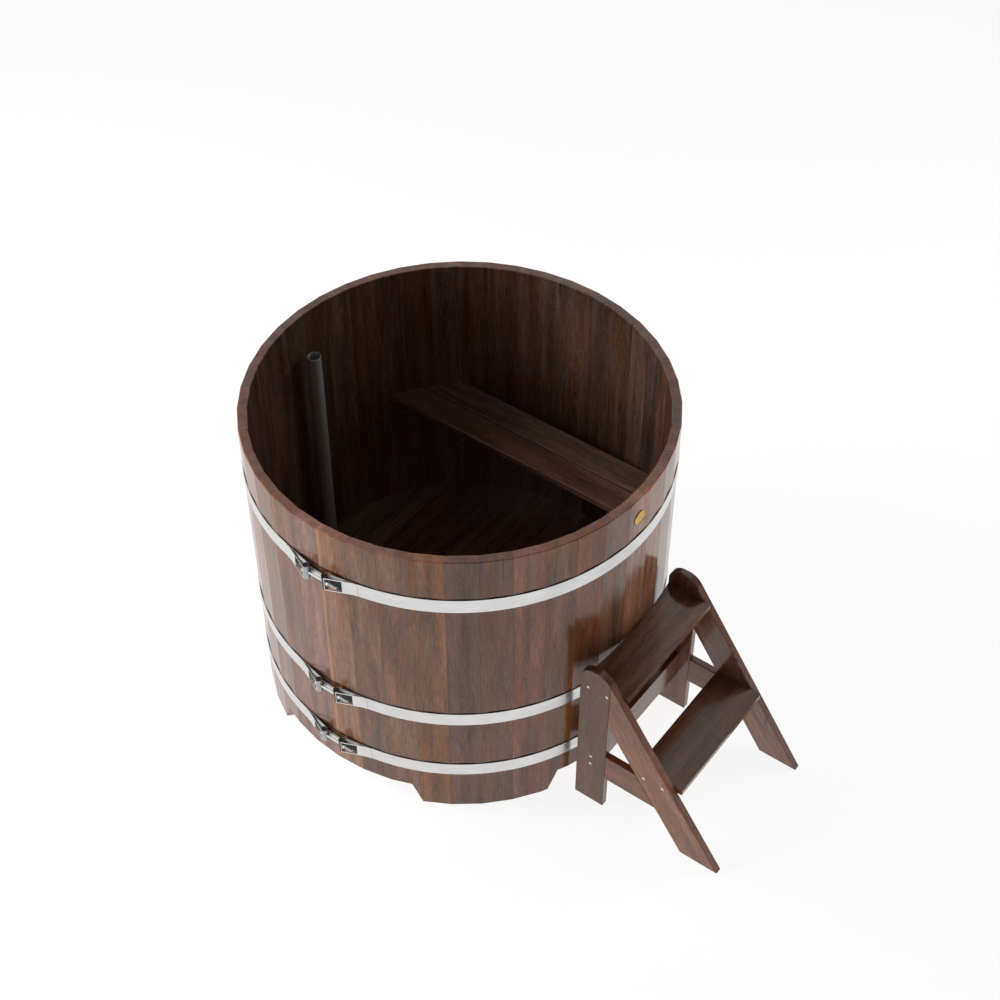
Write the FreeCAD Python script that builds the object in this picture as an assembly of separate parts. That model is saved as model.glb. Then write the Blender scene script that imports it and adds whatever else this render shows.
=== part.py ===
import FreeCAD, Part
import math
import os

# Round wooden plunge tub: flat-faced staves held by three clamped steel hoops, a boarded floor
# with a drain and a pull-out standpipe, a bench across one side and a free-standing step ladder.
# Millimetres, +Z up, ground at z = 0. While the pieces are made the tub's axis is at x = y = 0:
# the ladder stands on the -Y side, the drain on the +Y side, the bench on the +X side and the
# hoop clamps on the -X side. At the end everything moves so that the origin is the centre of the
# whole set's footprint.

Vector = FreeCAD.Vector
UP = Vector(0, 0, 1)
ORIGIN = Vector(0, 0, 0)

# Tub wall
TUB_RADIUS = 750.0           # axis to the outer corner where two staves meet
TUB_HEIGHT = 1283.0
STAVE_THICKNESS = 34.0
STAVE_JOINT_GAP = 0.2
STAVE_BEVEL = 0.4
RIM_BEVEL = 2.5
FEET = 4
FOOT_STAVES = 4              # staves that reach the ground in each foot
CLAMP_SIDE_STAVES = 6        # raised staves between the feet on the clamp side
OTHER_SIDE_STAVES = 7        # raised staves between the feet on each other side
FOOT_HEIGHT = 92.0
FOOT_END_RUN = 36.0          # how far a foot's sloped end leans out over its height
FOOT_OVERHANG = 9.3          # half of what a foot is wider on the ground than its staves
FOOT_TURN = 1.3              # degrees that a foot's middle lies further from the clamps than its staves'

# Floor
FLOOR_TOP = 166.0
FLOOR_THICKNESS = 38.0
FLOOR_BOARDS = 12
FLOOR_BOARD_GAP = 0.2
FLOOR_BOARD_BEVEL = 1.5
CROZE_DEPTH = 10.0           # groove in the staves that holds the floor's edge
CROZE_CLEARANCE = 0.3
TONGUE_LENGTH = 8.0
TONGUE_THICKNESS = 10.0
TONGUE_CLEARANCE = 0.2
BATTEN_PLACE = 0.44          # middle of each batten under the floor, as a share of the tub's radius
BATTEN_WIDTH = 90.0
BATTEN_THICKNESS = 34.0
BATTEN_END_GAP = 6.0

# Hoops and their clamps
HOOP_HEIGHT = 57.0
HOOP_THICKNESS = 2.0
UPPER_HOOP_DROP = 173.5      # rim to the upper hoop's top edge
MIDDLE_HOOP_BASE = 468.5
LOWER_HOOP_BASE = 185.5
STRAP_LEAVE = 12.0           # degrees from a clamp's middle to where its strap leaves the wall
FOLD_GAP = 57.0              # between the two folded strap ends
LUG_LENGTH = 123.0           # a fold's end to the end of its welded lap
LAP_LENGTH = 15.0
BRIDGE_HEIGHT = 32.0         # tongue behind the bolt, on the bolt head's side
BRIDGE_LENGTH = 68.0
TRUNNION_RADIUS = 9.5
TRUNNION_CLEARANCE = 0.2
TRUNNION_OVERHANG = 1.5
SPOT_FACE_DEPTH = 2.5
WINDOW_START = 1.0           # along the lug's outer leaf, from the end of the fold
WINDOW_LENGTH = 58.0
WINDOW_STRIP = 4.0           # strap left above and below a window
BOLT_RADIUS = 5.0
BOLT_LENGTH = 135.0
BOLT_CLEARANCE = 0.3
FOLD_HOLE_CLEARANCE = 1.5
THREAD_LENGTH = 50.0
THREAD_PITCH = 1.5
THREAD_DEPTH = 0.9
HEX_FLATS = 17.0
HEX_EDGE_BEVEL = 0.8
BOLT_HEAD_HEIGHT = 6.4
NUT_HEIGHT = 8.4
NUT_FIT = 0.05
WASHER_RADIUS = 9.5
WASHER_THICKNESS = 2.0

# Drain and standpipe
PIPE_RADIUS = 25.0
PIPE_WALL = 3.5
PIPE_WALL_GAP = 29.0         # tub wall to the pipe
PIPE_TOP_DROP = 150.0        # rim to the pipe's open top
PIPE_EDGE_ROUND = 1.2
PIPE_FIT = 0.05
SOCKET_DEPTH = 38.0
SOCKET_SHOULDER = 4.0        # ledge that the pipe stands on
DRAIN_BARREL_WALL = 6.0
DRAIN_HOLE_CLEARANCE = 0.3
DRAIN_BARREL_DROP = 26.0     # below the floor boards
FLANGE_WIDTH = 14.0
FLANGE_THICKNESS = 6.0
GASKET_THICKNESS = 2.0
LOCK_NUT_WIDTH = 9.0
LOCK_NUT_HEIGHT = 14.0
SEAL_SECTION_RADIUS = 1.5
SEAL_DEPTH = 12.0            # below the flange's top
SEAL_CLEARANCE = 0.1
ELBOW_RADIUS = 29.0
ELBOW_COLLAR_HEIGHT = 8.0
OUTLET_RADIUS = 25.0         # plain end for a push-fit socket
OUTLET_WALL = 3.5
OUTLET_LENGTH = 50.0
OUTLET_HEIGHT = 58.0         # ground to the outlet's axis
OUTLET_INSET = 4.0           # outlet's end behind the wall's outer face

# Bench
BENCH_TOP = 708.0
BENCH_FRONT = 355.0
BENCH_PLANK_WIDTH = 113.0
BENCH_PLANK_GAP = 4.0
BENCH_PLANK_THICKNESS = 28.0
BENCH_EDGE_ROUND = 4.0
BENCH_END_GAP = 0.8
LEDGER_DEPTH = 46.0
LEDGER_HEIGHT = 50.0
LEDGER_INSET = 10.0
LEDGER_WALL_GAP = 0.2
TIE_SETBACK = 32.0
TIE_WIDTH = 70.0
TIE_THICKNESS = 28.0

# Brass disc on the front stave
BADGE_RADIUS = 28.0
BADGE_THICKNESS = 2.5
BADGE_RIM_WIDTH = 3.0
BADGE_RIM_HEIGHT = 1.0
BADGE_DROP = 90.0
BADGE_PIN_RADIUS = 2.0
BADGE_PIN_LENGTH = 14.0

# Ladder
LADDER_GAP = 3.0             # tub's outer corners to the upper tread's back edge
LADDER_OFFSET = -23.5        # middle of the ladder from the tub's axis, along X
LADDER_WIDTH = 574.0
SIDE_THICKNESS = 28.0
SIDE_EDGE_ROUND = 3.0
POST_WIDTH = 119.0
POST_SETBACK = 20.0          # post's back edge behind the middle of the upper tread's back edge
POST_BACK_ROUND = 51.0       # post's top corner towards the tub
POST_FRONT_ROUND = 67.5      # post's top corner that runs into the leg's slope
POST_ROUND_SHARE = 0.9       # most of the top behind the front round that the back round may take
LEG_WIDTH = 124.0
LEG_LEAN = 35.2              # degrees from vertical
LEG_REACH = 480.0            # post's front edge to the leg's toe on the ground
TREAD_THICKNESS = 28.0
TREAD_ROUND = 3.5
UPPER_TREAD_TOP = 630.0
UPPER_TREAD_DEPTH = 156.0
LOWER_TREAD_TOP = 310.0
LOWER_TREAD_DEPTH = 181.5
LOWER_TREAD_SETBACK = 3.5    # tread's back edge behind the leg's back edge
RAIL_BASE = 166.0
RAIL_WIDTH = 122.0
RAIL_THICKNESS = 28.0
RAIL_SETBACK = 44.0          # post's back edge to the rear rail's back face
TREAD_SCREW_SPACING = 76.0
RAIL_SCREW_SPACING = 41.0
DOWEL_RADIUS = 5.0
DOWEL_LENGTH = 60.0
DOWEL_CLEARANCE = 0.05
DOWEL_PLACES = (0.2, 0.5)    # shares of a joint's height, clear of the screws in the treads

# Screws
SCREW_RADIUS = 2.5
SCREW_HEAD_RADIUS = 5.0
SCREW_HEAD_HEIGHT = 3.0
SCREW_TIP = 6.0
SCREW_TIP_RADIUS = 0.3
SCREW_CLEARANCE = 0.05
FLOOR_SCREW_LENGTH = 58.0
BENCH_SCREW_LENGTH = 70.0
TIE_SCREW_LENGTH = 46.0
SIDE_SCREW_LENGTH = 78.0
SIDE_SCREW_RADIUS = 3.0
BUTTON_RADIUS = 6.0
BUTTON_HEIGHT = 2.6
BUTTON_SOCKET_FLATS = 4.0
BUTTON_SOCKET_DEPTH = 1.6

# Wall
STAVE_COUNT = FEET * FOOT_STAVES + CLAMP_SIDE_STAVES + (FEET - 1) * OTHER_SIDE_STAVES
STAVE_STEP = 360.0 / STAVE_COUNT
HALF_STEP = math.radians(STAVE_STEP / 2)
OUTER_FACE = TUB_RADIUS * math.cos(HALF_STEP)
INNER_FACE = OUTER_FACE - STAVE_THICKNESS
CLAMP_SIDE_ANGLE = 180.0
FRONT_ANGLE = 270.0
CROZE_RADIUS = INNER_FACE + CROZE_DEPTH
FLOOR_UNDERSIDE = FLOOR_TOP - FLOOR_THICKNESS
BATTEN_OFFSET = BATTEN_PLACE * TUB_RADIUS

# Hoops
HOOP_OUTER = TUB_RADIUS + HOOP_THICKNESS
HOOP_BASES = {
    "upper": TUB_HEIGHT - UPPER_HOOP_DROP - HOOP_HEIGHT,
    "middle": MIDDLE_HOOP_BASE,
    "lower": LOWER_HOOP_BASE,
}
FOLD_INNER = TRUNNION_RADIUS + TRUNNION_CLEARANCE
FOLD_OUTER = FOLD_INNER + HOOP_THICKNESS
TRUNNION_SIDE = FOLD_GAP / 2 + FOLD_OUTER
LEAVE = math.radians(STRAP_LEAVE)
TRUNNION_OUT = HOOP_OUTER + FOLD_INNER
FREE_STRAP = (TRUNNION_OUT * math.sin(LEAVE) - TRUNNION_SIDE) / math.cos(LEAVE)
BOLT_REACH = TRUNNION_OUT * math.cos(LEAVE) + FREE_STRAP * math.sin(LEAVE)
LEAF_LENGTH = LUG_LENGTH - LAP_LENGTH - FOLD_OUTER
LEAF_TILT = LEAVE + 2 * math.atan(FOLD_INNER / LEAF_LENGTH)
SEAT_SIDE = TRUNNION_SIDE + TRUNNION_RADIUS - SPOT_FACE_DEPTH
CLAMP_OUTER = BOLT_REACH + FOLD_OUTER

# Drain
DRAIN_Y = INNER_FACE - PIPE_WALL_GAP - PIPE_RADIUS
SOCKET_RADIUS = PIPE_RADIUS + PIPE_FIT
BARREL_RADIUS = SOCKET_RADIUS + DRAIN_BARREL_WALL
FLANGE_BASE = FLOOR_TOP + GASKET_THICKNESS
FLANGE_TOP = FLANGE_BASE + FLANGE_THICKNESS
PIPE_BASE = FLANGE_TOP - SOCKET_DEPTH
PIPE_TOP = TUB_HEIGHT - PIPE_TOP_DROP
BARREL_BASE = FLOOR_UNDERSIDE - DRAIN_BARREL_DROP

# Bench
BENCH_UNDERSIDE = BENCH_TOP - BENCH_PLANK_THICKNESS
BENCH_STARTS = [BENCH_FRONT, BENCH_FRONT + BENCH_PLANK_WIDTH + BENCH_PLANK_GAP]
BENCH_BACK = BENCH_STARTS[1] + BENCH_PLANK_WIDTH
LEDGER_INNER = INNER_FACE - LEDGER_DEPTH

# Ladder, with u measured away from the tub's axis towards -Y
TREAD_BACK = TUB_RADIUS + LADDER_GAP
POST_BACK = TREAD_BACK - POST_SETBACK
POST_FRONT = POST_BACK + POST_WIDTH
TOE = POST_FRONT + LEG_REACH
LEAN = math.radians(LEG_LEAN)
HEEL = TOE - LEG_WIDTH / math.cos(LEAN)
LADDER_LEFT = LADDER_OFFSET - LADDER_WIDTH / 2
LADDER_RIGHT = LADDER_OFFSET + LADDER_WIDTH / 2
TREAD_LEFT = LADDER_LEFT + SIDE_THICKNESS
TREAD_RIGHT = LADDER_RIGHT - SIDE_THICKNESS
RAIL_TOP = RAIL_BASE + RAIL_WIDTH
UPPER_TREAD_MIDDLE = UPPER_TREAD_TOP - TREAD_THICKNESS / 2
LOWER_TREAD_MIDDLE = LOWER_TREAD_TOP - TREAD_THICKNESS / 2

# Centre of the footprint of the whole set
FOOTPRINT_X = (HOOP_OUTER - CLAMP_OUTER) / 2
FOOTPRINT_Y = (HOOP_OUTER - TOE) / 2


def prism(points, sweep):
    """Closed outline of straight edges, extruded along sweep."""
    outline = Part.makePolygon(points + points[:1])
    return Part.Face(outline).extrude(sweep)


def box(low, high):
    """Box between two corners."""
    size = high - low
    return Part.makeBox(size.x, size.y, size.z, low)


def turned(shape, degrees):
    """Copy of a shape, turned about the tub's axis."""
    copy = shape.copy()
    copy.rotate(ORIGIN, UP, degrees)
    return copy


def aimed(shape, start, direction):
    """Copy of a shape made along +Z from the origin, moved to start and aimed along direction."""
    copy = shape.copy()
    copy.Placement = FreeCAD.Placement(start, FreeCAD.Rotation(UP, direction))
    return copy


def polar(radius, degrees, height):
    """Point at an angle and distance from the tub's axis."""
    angle = math.radians(degrees)
    return Vector(radius * math.cos(angle), radius * math.sin(angle), height)


def ring(inner, outer, base, height, centre=ORIGIN):
    """Round tube, standing upright."""
    foot = Vector(centre.x, centre.y, base)
    tube = Part.makeCylinder(outer, height, foot)
    return tube.cut(Part.makeCylinder(inner, height, foot))


def ring_sector(inner, outer, base, height, centre, start, sweep):
    """Part of a ring, from the angle start through sweep degrees."""
    foot = Vector(centre.x, centre.y, base)
    outside = Part.makeCylinder(outer, height, foot, UP, sweep)
    sector = outside.cut(Part.makeCylinder(inner, height, foot))
    sector.rotate(foot, UP, start)
    return sector


def revolved(profile):
    """Solid of revolution about Z from (radius, height) points."""
    points = [Vector(radius, 0, height) for radius, height in profile]
    outline = Part.makePolygon(points + points[:1])
    return Part.Face(outline).revolve(ORIGIN, UP, 360)


def hexagon(flats, base, height):
    """Hexagonal prism about Z, with its outer corners bevelled at both ends."""
    corner = flats / 2 / math.cos(math.radians(30))
    points = [polar(corner, 60 * side, base) for side in range(6)]
    top = base + height
    soft = revolved([
        (0, base),
        (corner - HEX_EDGE_BEVEL * 2, base),
        (corner, base + HEX_EDGE_BEVEL),
        (corner, top - HEX_EDGE_BEVEL),
        (corner - HEX_EDGE_BEVEL * 2, top),
        (0, top),
    ])
    return prism(points, UP * height).common(soft)


def drilled(solid, tools):
    """Solid with every tool that reaches it cut away."""
    for tool in tools:
        if solid.BoundBox.intersect(tool.BoundBox):
            solid = solid.cut(tool)
    return solid.Solids[0]


def wood_screw(length, grow=0.0):
    """Countersunk screw along +Z with its head's flat top at the origin."""
    return revolved([
        (0, 0),
        (SCREW_HEAD_RADIUS + grow, 0),
        (SCREW_RADIUS + grow, SCREW_HEAD_HEIGHT),
        (SCREW_RADIUS + grow, length - SCREW_TIP),
        (SCREW_TIP_RADIUS + grow, length + grow),
        (0, length + grow),
    ])


def placed_screws(spots, length):
    """Screws and their holes at (start, direction) spots."""
    screw = wood_screw(length)
    hole = wood_screw(length, SCREW_CLEARANCE)
    solids = [aimed(screw, start, direction) for start, direction in spots]
    holes = [aimed(hole, start, direction) for start, direction in spots]
    return solids, holes


# Staves

def stave_blank():
    """Full-length stave centred on +X: bevelled edges, rim bevels and the groove for the floor."""
    relief = STAVE_JOINT_GAP / 2 / math.cos(HALF_STEP)
    outer_half = OUTER_FACE * math.tan(HALF_STEP) - relief
    inner_half = INNER_FACE * math.tan(HALF_STEP) - relief
    along_side = Vector(math.cos(HALF_STEP), math.sin(HALF_STEP), 0) * STAVE_BEVEL
    upper_side = [
        Vector(INNER_FACE, inner_half - STAVE_BEVEL, 0),
        Vector(INNER_FACE, inner_half, 0) + along_side,
        Vector(OUTER_FACE, outer_half, 0) - along_side,
        Vector(OUTER_FACE, outer_half - STAVE_BEVEL, 0),
    ]
    lower_side = [Vector(point.x, -point.y, 0) for point in reversed(upper_side)]
    blank = prism(upper_side + lower_side, UP * TUB_HEIGHT)
    rim_edges = []
    for edge in blank.Edges:
        middle = edge.CenterOfMass
        on_face = min(abs(middle.x - OUTER_FACE), abs(middle.x - INNER_FACE)) < RIM_BEVEL / 10
        if on_face and abs(middle.z - TUB_HEIGHT) < RIM_BEVEL / 10:
            rim_edges.append(edge)
    blank = blank.makeChamfer(RIM_BEVEL, rim_edges)
    groove_height = FLOOR_THICKNESS + CROZE_CLEARANCE
    groove = Part.makeCylinder(CROZE_RADIUS, groove_height, Vector(0, 0, FLOOR_UNDERSIDE))
    return blank.cut(groove)


def stave_angle(index):
    """Direction that a stave faces. Stave 0 starts at the joint in the middle of the clamp side."""
    return CLAMP_SIDE_ANGLE + STAVE_STEP * (index + 0.5)


def foot_starts():
    """First stave of each foot, going round from the clamp side."""
    first = CLAMP_SIDE_STAVES // 2
    return [first + foot * (FOOT_STAVES + OTHER_SIDE_STAVES) for foot in range(FEET)]


def foot_angles():
    """Direction that the middle of each foot faces."""
    angles = []
    for start in foot_starts():
        middle = stave_angle(start + (FOOT_STAVES - 1) / 2) % 360
        side = 1 if middle > CLAMP_SIDE_ANGLE else -1
        angles.append(middle + side * FOOT_TURN)
    return angles


def foot_clearing():
    """Space beside a foot that faces +X, out to the middle of the openings on both sides."""
    foot_half = TUB_RADIUS * math.sin(FOOT_STAVES * HALF_STEP) + FOOT_OVERHANG
    slope = FOOT_END_RUN / FOOT_HEIGHT
    below = FOOT_HEIGHT / 10
    inner = TUB_RADIUS / 3
    clearing = [
        Vector(inner, foot_half - slope * below, -below),
        Vector(inner, foot_half + FOOT_END_RUN, FOOT_HEIGHT),
        Vector(inner, TUB_RADIUS, FOOT_HEIGHT),
        Vector(inner, TUB_RADIUS, -below),
    ]
    one_side = prism(clearing, Vector(TUB_RADIUS, 0, 0))
    return [one_side, one_side.mirror(ORIGIN, Vector(0, 1, 0))]


def make_staves(holes):
    """Every stave, cut to its foot or opening, in order round the tub."""
    blank = stave_blank()
    clearing = foot_clearing()
    feet = foot_angles()
    staves = []
    for index in range(STAVE_COUNT):
        angle = stave_angle(index)
        nearest = min(feet, key=lambda foot: abs((angle - foot + 180) % 360 - 180))
        stave = turned(blank, angle)
        tools = [turned(side, nearest) for side in clearing]
        staves.append(drilled(stave, tools + holes))
    return staves


def stave_groups(staves):
    """Staves grouped by foot and by the opening between two feet."""
    groups = {}
    starts = foot_starts()
    feet = ["front_left", "front_right", "back_right", "back_left"]
    sides = ["front", "right", "back", "left"]
    for foot, start in enumerate(starts):
        end = start + FOOT_STAVES
        after = starts[foot + 1] if foot + 1 < FEET else starts[0] + STAVE_COUNT
        groups["foot_staves_" + feet[foot]] = staves[start:end]
        between = [staves[index % STAVE_COUNT] for index in range(end, after)]
        groups["wall_staves_" + sides[foot]] = between
    return groups


# Floor

def floor_board_pitch():
    """Width that each floor board takes up across the tub."""
    return 2 * (CROZE_RADIUS - CROZE_CLEARANCE) / FLOOR_BOARDS


def drained_board():
    """Place in the row of the floor board that the drain goes through."""
    return int((DRAIN_Y + CROZE_RADIUS - CROZE_CLEARANCE) / floor_board_pitch())


def make_floor(holes):
    """Tongued and grooved boards along X, trimmed to a disc and bored for the drain."""
    radius = CROZE_RADIUS - CROZE_CLEARANCE
    pitch = floor_board_pitch()
    middle = FLOOR_UNDERSIDE + FLOOR_THICKNESS / 2
    tongue = TONGUE_THICKNESS / 2
    slot = tongue + TONGUE_CLEARANCE
    slot_depth = TONGUE_LENGTH + TONGUE_CLEARANCE
    disc = Part.makeCylinder(radius, FLOOR_THICKNESS, Vector(0, 0, FLOOR_UNDERSIDE))
    drain_hole = Part.makeCylinder(
        BARREL_RADIUS + DRAIN_HOLE_CLEARANCE, FLOOR_THICKNESS, Vector(0, DRAIN_Y, FLOOR_UNDERSIDE)
    )
    boards = []
    for index in range(FLOOR_BOARDS):
        near = -radius + index * pitch
        far = near + pitch - FLOOR_BOARD_GAP
        outline = [
            (near + FLOOR_BOARD_BEVEL, FLOOR_TOP),
            (near, FLOOR_TOP - FLOOR_BOARD_BEVEL),
            (near, middle + slot),
            (near + slot_depth, middle + slot),
            (near + slot_depth, middle - slot),
            (near, middle - slot),
            (near, FLOOR_UNDERSIDE),
            (far, FLOOR_UNDERSIDE),
            (far, middle - tongue),
            (far + TONGUE_LENGTH, middle - tongue),
            (far + TONGUE_LENGTH, middle + tongue),
            (far, middle + tongue),
            (far, FLOOR_TOP - FLOOR_BOARD_BEVEL),
            (far - FLOOR_BOARD_BEVEL, FLOOR_TOP),
        ]
        points = [Vector(-radius, y, z) for y, z in outline]
        board = prism(points, Vector(2 * radius, 0, 0)).common(disc)
        boards.append(drilled(board, [drain_hole] + holes))
    return boards


def batten_half_length():
    """Half of a batten's length, so that its outer corners stay clear of the staves."""
    outer_side = BATTEN_OFFSET + BATTEN_WIDTH / 2
    reach = INNER_FACE - BATTEN_END_GAP
    return math.sqrt(reach * reach - outer_side * outer_side)


def make_battens(holes):
    """Two battens under the floor, across its boards."""
    half = batten_half_length()
    battens = []
    for side in (-1, 1):
        middle = side * BATTEN_OFFSET
        low = Vector(middle - BATTEN_WIDTH / 2, -half, FLOOR_UNDERSIDE - BATTEN_THICKNESS)
        high = Vector(middle + BATTEN_WIDTH / 2, half, FLOOR_UNDERSIDE)
        battens.append(drilled(box(low, high), holes))
    return battens


def floor_screw_spots():
    """One screw up through each batten into each board that the batten fully crosses."""
    half = batten_half_length()
    pitch = floor_board_pitch()
    spots = []
    for index in range(FLOOR_BOARDS):
        y = (index + 0.5 - FLOOR_BOARDS / 2) * pitch
        if abs(y) > half - pitch / 4:
            continue
        for x in (-BATTEN_OFFSET, BATTEN_OFFSET):
            spots.append((Vector(x, y, FLOOR_UNDERSIDE - BATTEN_THICKNESS), UP))
    return spots


# Hoops and clamps, made with the clamp facing +X and turned to the clamp side afterwards

def free_strap(along, out):
    """Point on the +Y side's free strap: along it from the wall, and out from its inner side."""
    facing = Vector(math.cos(LEAVE), math.sin(LEAVE), 0)
    towards_clamp = Vector(math.sin(LEAVE), -math.cos(LEAVE), 0)
    return facing * (TUB_RADIUS + out) + towards_clamp * along


def lug_leaf():
    """Start of a lug's outer leaf at its inner side, the way it runs and the way it faces."""
    normal = Vector(math.cos(LEAF_TILT), math.sin(LEAF_TILT), 0)
    along = Vector(-math.sin(LEAF_TILT), math.cos(LEAF_TILT), 0)
    centre = Vector(BOLT_REACH, TRUNNION_SIDE, 0)
    return centre + normal * FOLD_INNER, along, normal


def lug_solids(base):
    """Strap end on the +Y side: its free run from the wall, the fold, the outer leaf and its welded lap."""
    start, along, normal = lug_leaf()
    centre = start - normal * FOLD_INNER
    run_corners = [
        free_strap(0, 0),
        free_strap(0, HOOP_THICKNESS),
        free_strap(FREE_STRAP, HOOP_THICKNESS),
        free_strap(FREE_STRAP, 0),
    ]
    run = prism([point + UP * base for point in run_corners], UP * HOOP_HEIGHT)
    fold_sweep = 180 + math.degrees(LEAF_TILT) - STRAP_LEAVE
    fold = ring_sector(
        FOLD_INNER, FOLD_OUTER, base, HOOP_HEIGHT, centre, STRAP_LEAVE + 180, fold_sweep
    )
    weld_place = FREE_STRAP - LEAF_LENGTH
    lap_end = weld_place - LAP_LENGTH
    strap_facing = Vector(math.cos(LEAVE), math.sin(LEAVE), 0)
    between = (normal + strap_facing).normalize()
    bend_lift = between * (HOOP_THICKNESS / between.dot(normal))
    leaf_corners = [
        start,
        start + normal * HOOP_THICKNESS,
        start + along * LEAF_LENGTH + bend_lift,
        free_strap(lap_end, 2 * HOOP_THICKNESS),
        free_strap(lap_end, HOOP_THICKNESS / 2),
        free_strap(weld_place, HOOP_THICKNESS / 2),
        free_strap(weld_place, HOOP_THICKNESS),
    ]
    leaf = prism([point + UP * base for point in leaf_corners], UP * HOOP_HEIGHT)
    return [run, fold, leaf]


def lug_openings(base):
    """Window in the outer leaf and bolt hole in the fold of the lug on the +Y side."""
    start, along, normal = lug_leaf()
    near = start + along * WINDOW_START - normal * HOOP_THICKNESS
    far = near + along * WINDOW_LENGTH
    depth = normal * (3 * HOOP_THICKNESS)
    lift = UP * (base + WINDOW_STRIP)
    corners = [near + lift, far + lift, far + depth + lift, near + depth + lift]
    window = prism(corners, UP * (HOOP_HEIGHT - 2 * WINDOW_STRIP))
    hole_start = Vector(BOLT_REACH, 0, base + HOOP_HEIGHT / 2)
    hole = Part.makeCylinder(
        BOLT_RADIUS + FOLD_HOLE_CLEARANCE, TRUNNION_SIDE, hole_start, Vector(0, 1, 0)
    )
    return [window, hole]


def bridge_tongue(base):
    """Narrow tongue from the fold on the -Y side, behind the bolt and the other fold."""
    low = base + (HOOP_HEIGHT - BRIDGE_HEIGHT) / 2
    root = Vector(BOLT_REACH - FOLD_OUTER, -TRUNNION_SIDE, low)
    tip = Vector(BOLT_REACH - FOLD_INNER, BRIDGE_LENGTH - TRUNNION_SIDE, low + BRIDGE_HEIGHT)
    return box(root, tip)


def make_hoop(base):
    """One strap round the staves with a folded lug at each end and a tongue across the gap."""
    mirror_plane = Vector(0, 1, 0)
    strap = ring_sector(
        TUB_RADIUS, HOOP_OUTER, base, HOOP_HEIGHT, ORIGIN, STRAP_LEAVE, 360 - 2 * STRAP_LEAVE
    )
    lug = lug_solids(base)
    other_lug = [solid.mirror(ORIGIN, mirror_plane) for solid in lug]
    hoop = strap.multiFuse(lug + other_lug + [bridge_tongue(base)]).removeSplitter()
    for opening in lug_openings(base):
        hoop = hoop.cut(opening)
        hoop = hoop.cut(opening.mirror(ORIGIN, mirror_plane))
    return turned(hoop, CLAMP_SIDE_ANGLE).Solids[0]


def make_trunnions(base):
    """Cross-bored round bars in the two folds, flattened where the bolt head and washer bear."""
    middle = base + HOOP_HEIGHT / 2
    length = HOOP_HEIGHT + 2 * TRUNNION_OVERHANG
    foot = Vector(BOLT_REACH, TRUNNION_SIDE, base - TRUNNION_OVERHANG)
    bar = Part.makeCylinder(TRUNNION_RADIUS, length, foot)
    bore_start = Vector(BOLT_REACH, TRUNNION_SIDE - TRUNNION_RADIUS, middle)
    bore = Part.makeCylinder(
        BOLT_RADIUS + BOLT_CLEARANCE, 2 * TRUNNION_RADIUS, bore_start, Vector(0, 1, 0)
    )
    reach = WASHER_RADIUS + BOLT_CLEARANCE
    spot_low = Vector(BOLT_REACH - TRUNNION_RADIUS, SEAT_SIDE, middle - reach)
    spot_high = Vector(
        BOLT_REACH + TRUNNION_RADIUS, TRUNNION_SIDE + TRUNNION_RADIUS, middle + reach
    )
    bar = bar.cut(bore).cut(box(spot_low, spot_high))
    bars = [bar, bar.mirror(ORIGIN, Vector(0, 1, 0))]
    return [turned(solid, CLAMP_SIDE_ANGLE).Solids[0] for solid in bars]


def on_bolt_line(solid, side, base):
    """Solid made along +Z, laid along the bolt from side, counted towards the nut."""
    start = Vector(BOLT_REACH, side, base + HOOP_HEIGHT / 2)
    return turned(aimed(solid, start, Vector(0, 1, 0)), CLAMP_SIDE_ANGLE).Solids[0]


def make_bolt(base):
    """Hexagon bolt from the head-side trunnion to past the nut, with a ringed thread."""
    thread_start = BOLT_LENGTH - THREAD_LENGTH
    core = BOLT_RADIUS - THREAD_DEPTH
    profile = [(0, 0), (BOLT_RADIUS, 0), (BOLT_RADIUS, thread_start)]
    turns = int(THREAD_LENGTH / THREAD_PITCH) - 1
    for turn in range(turns):
        groove = thread_start + THREAD_PITCH * (turn + 0.5)
        profile.append((core, groove))
        profile.append((BOLT_RADIUS, groove + THREAD_PITCH / 2))
    profile.append((core, BOLT_LENGTH))
    profile.append((0, BOLT_LENGTH))
    head = hexagon(HEX_FLATS, -BOLT_HEAD_HEIGHT, BOLT_HEAD_HEIGHT)
    bolt = revolved(profile).fuse(head).removeSplitter()
    return on_bolt_line(bolt, -SEAT_SIDE, base)


def make_washer(base):
    """Flat washer on the nut-side trunnion."""
    washer = ring(BOLT_RADIUS + NUT_FIT, WASHER_RADIUS, 0, WASHER_THICKNESS)
    return on_bolt_line(washer, SEAT_SIDE, base)


def make_nut(base):
    """Hexagon nut on the washer."""
    bore = Part.makeCylinder(BOLT_RADIUS + NUT_FIT, NUT_HEIGHT)
    nut = hexagon(HEX_FLATS, 0, NUT_HEIGHT).cut(bore)
    return on_bolt_line(nut, SEAT_SIDE + WASHER_THICKNESS, base)


# Drain and standpipe

def at_drain(shape):
    """Copy of a shape made about Z, moved to the drain."""
    copy = shape.copy()
    copy.translate(Vector(0, DRAIN_Y, 0))
    return copy


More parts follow.
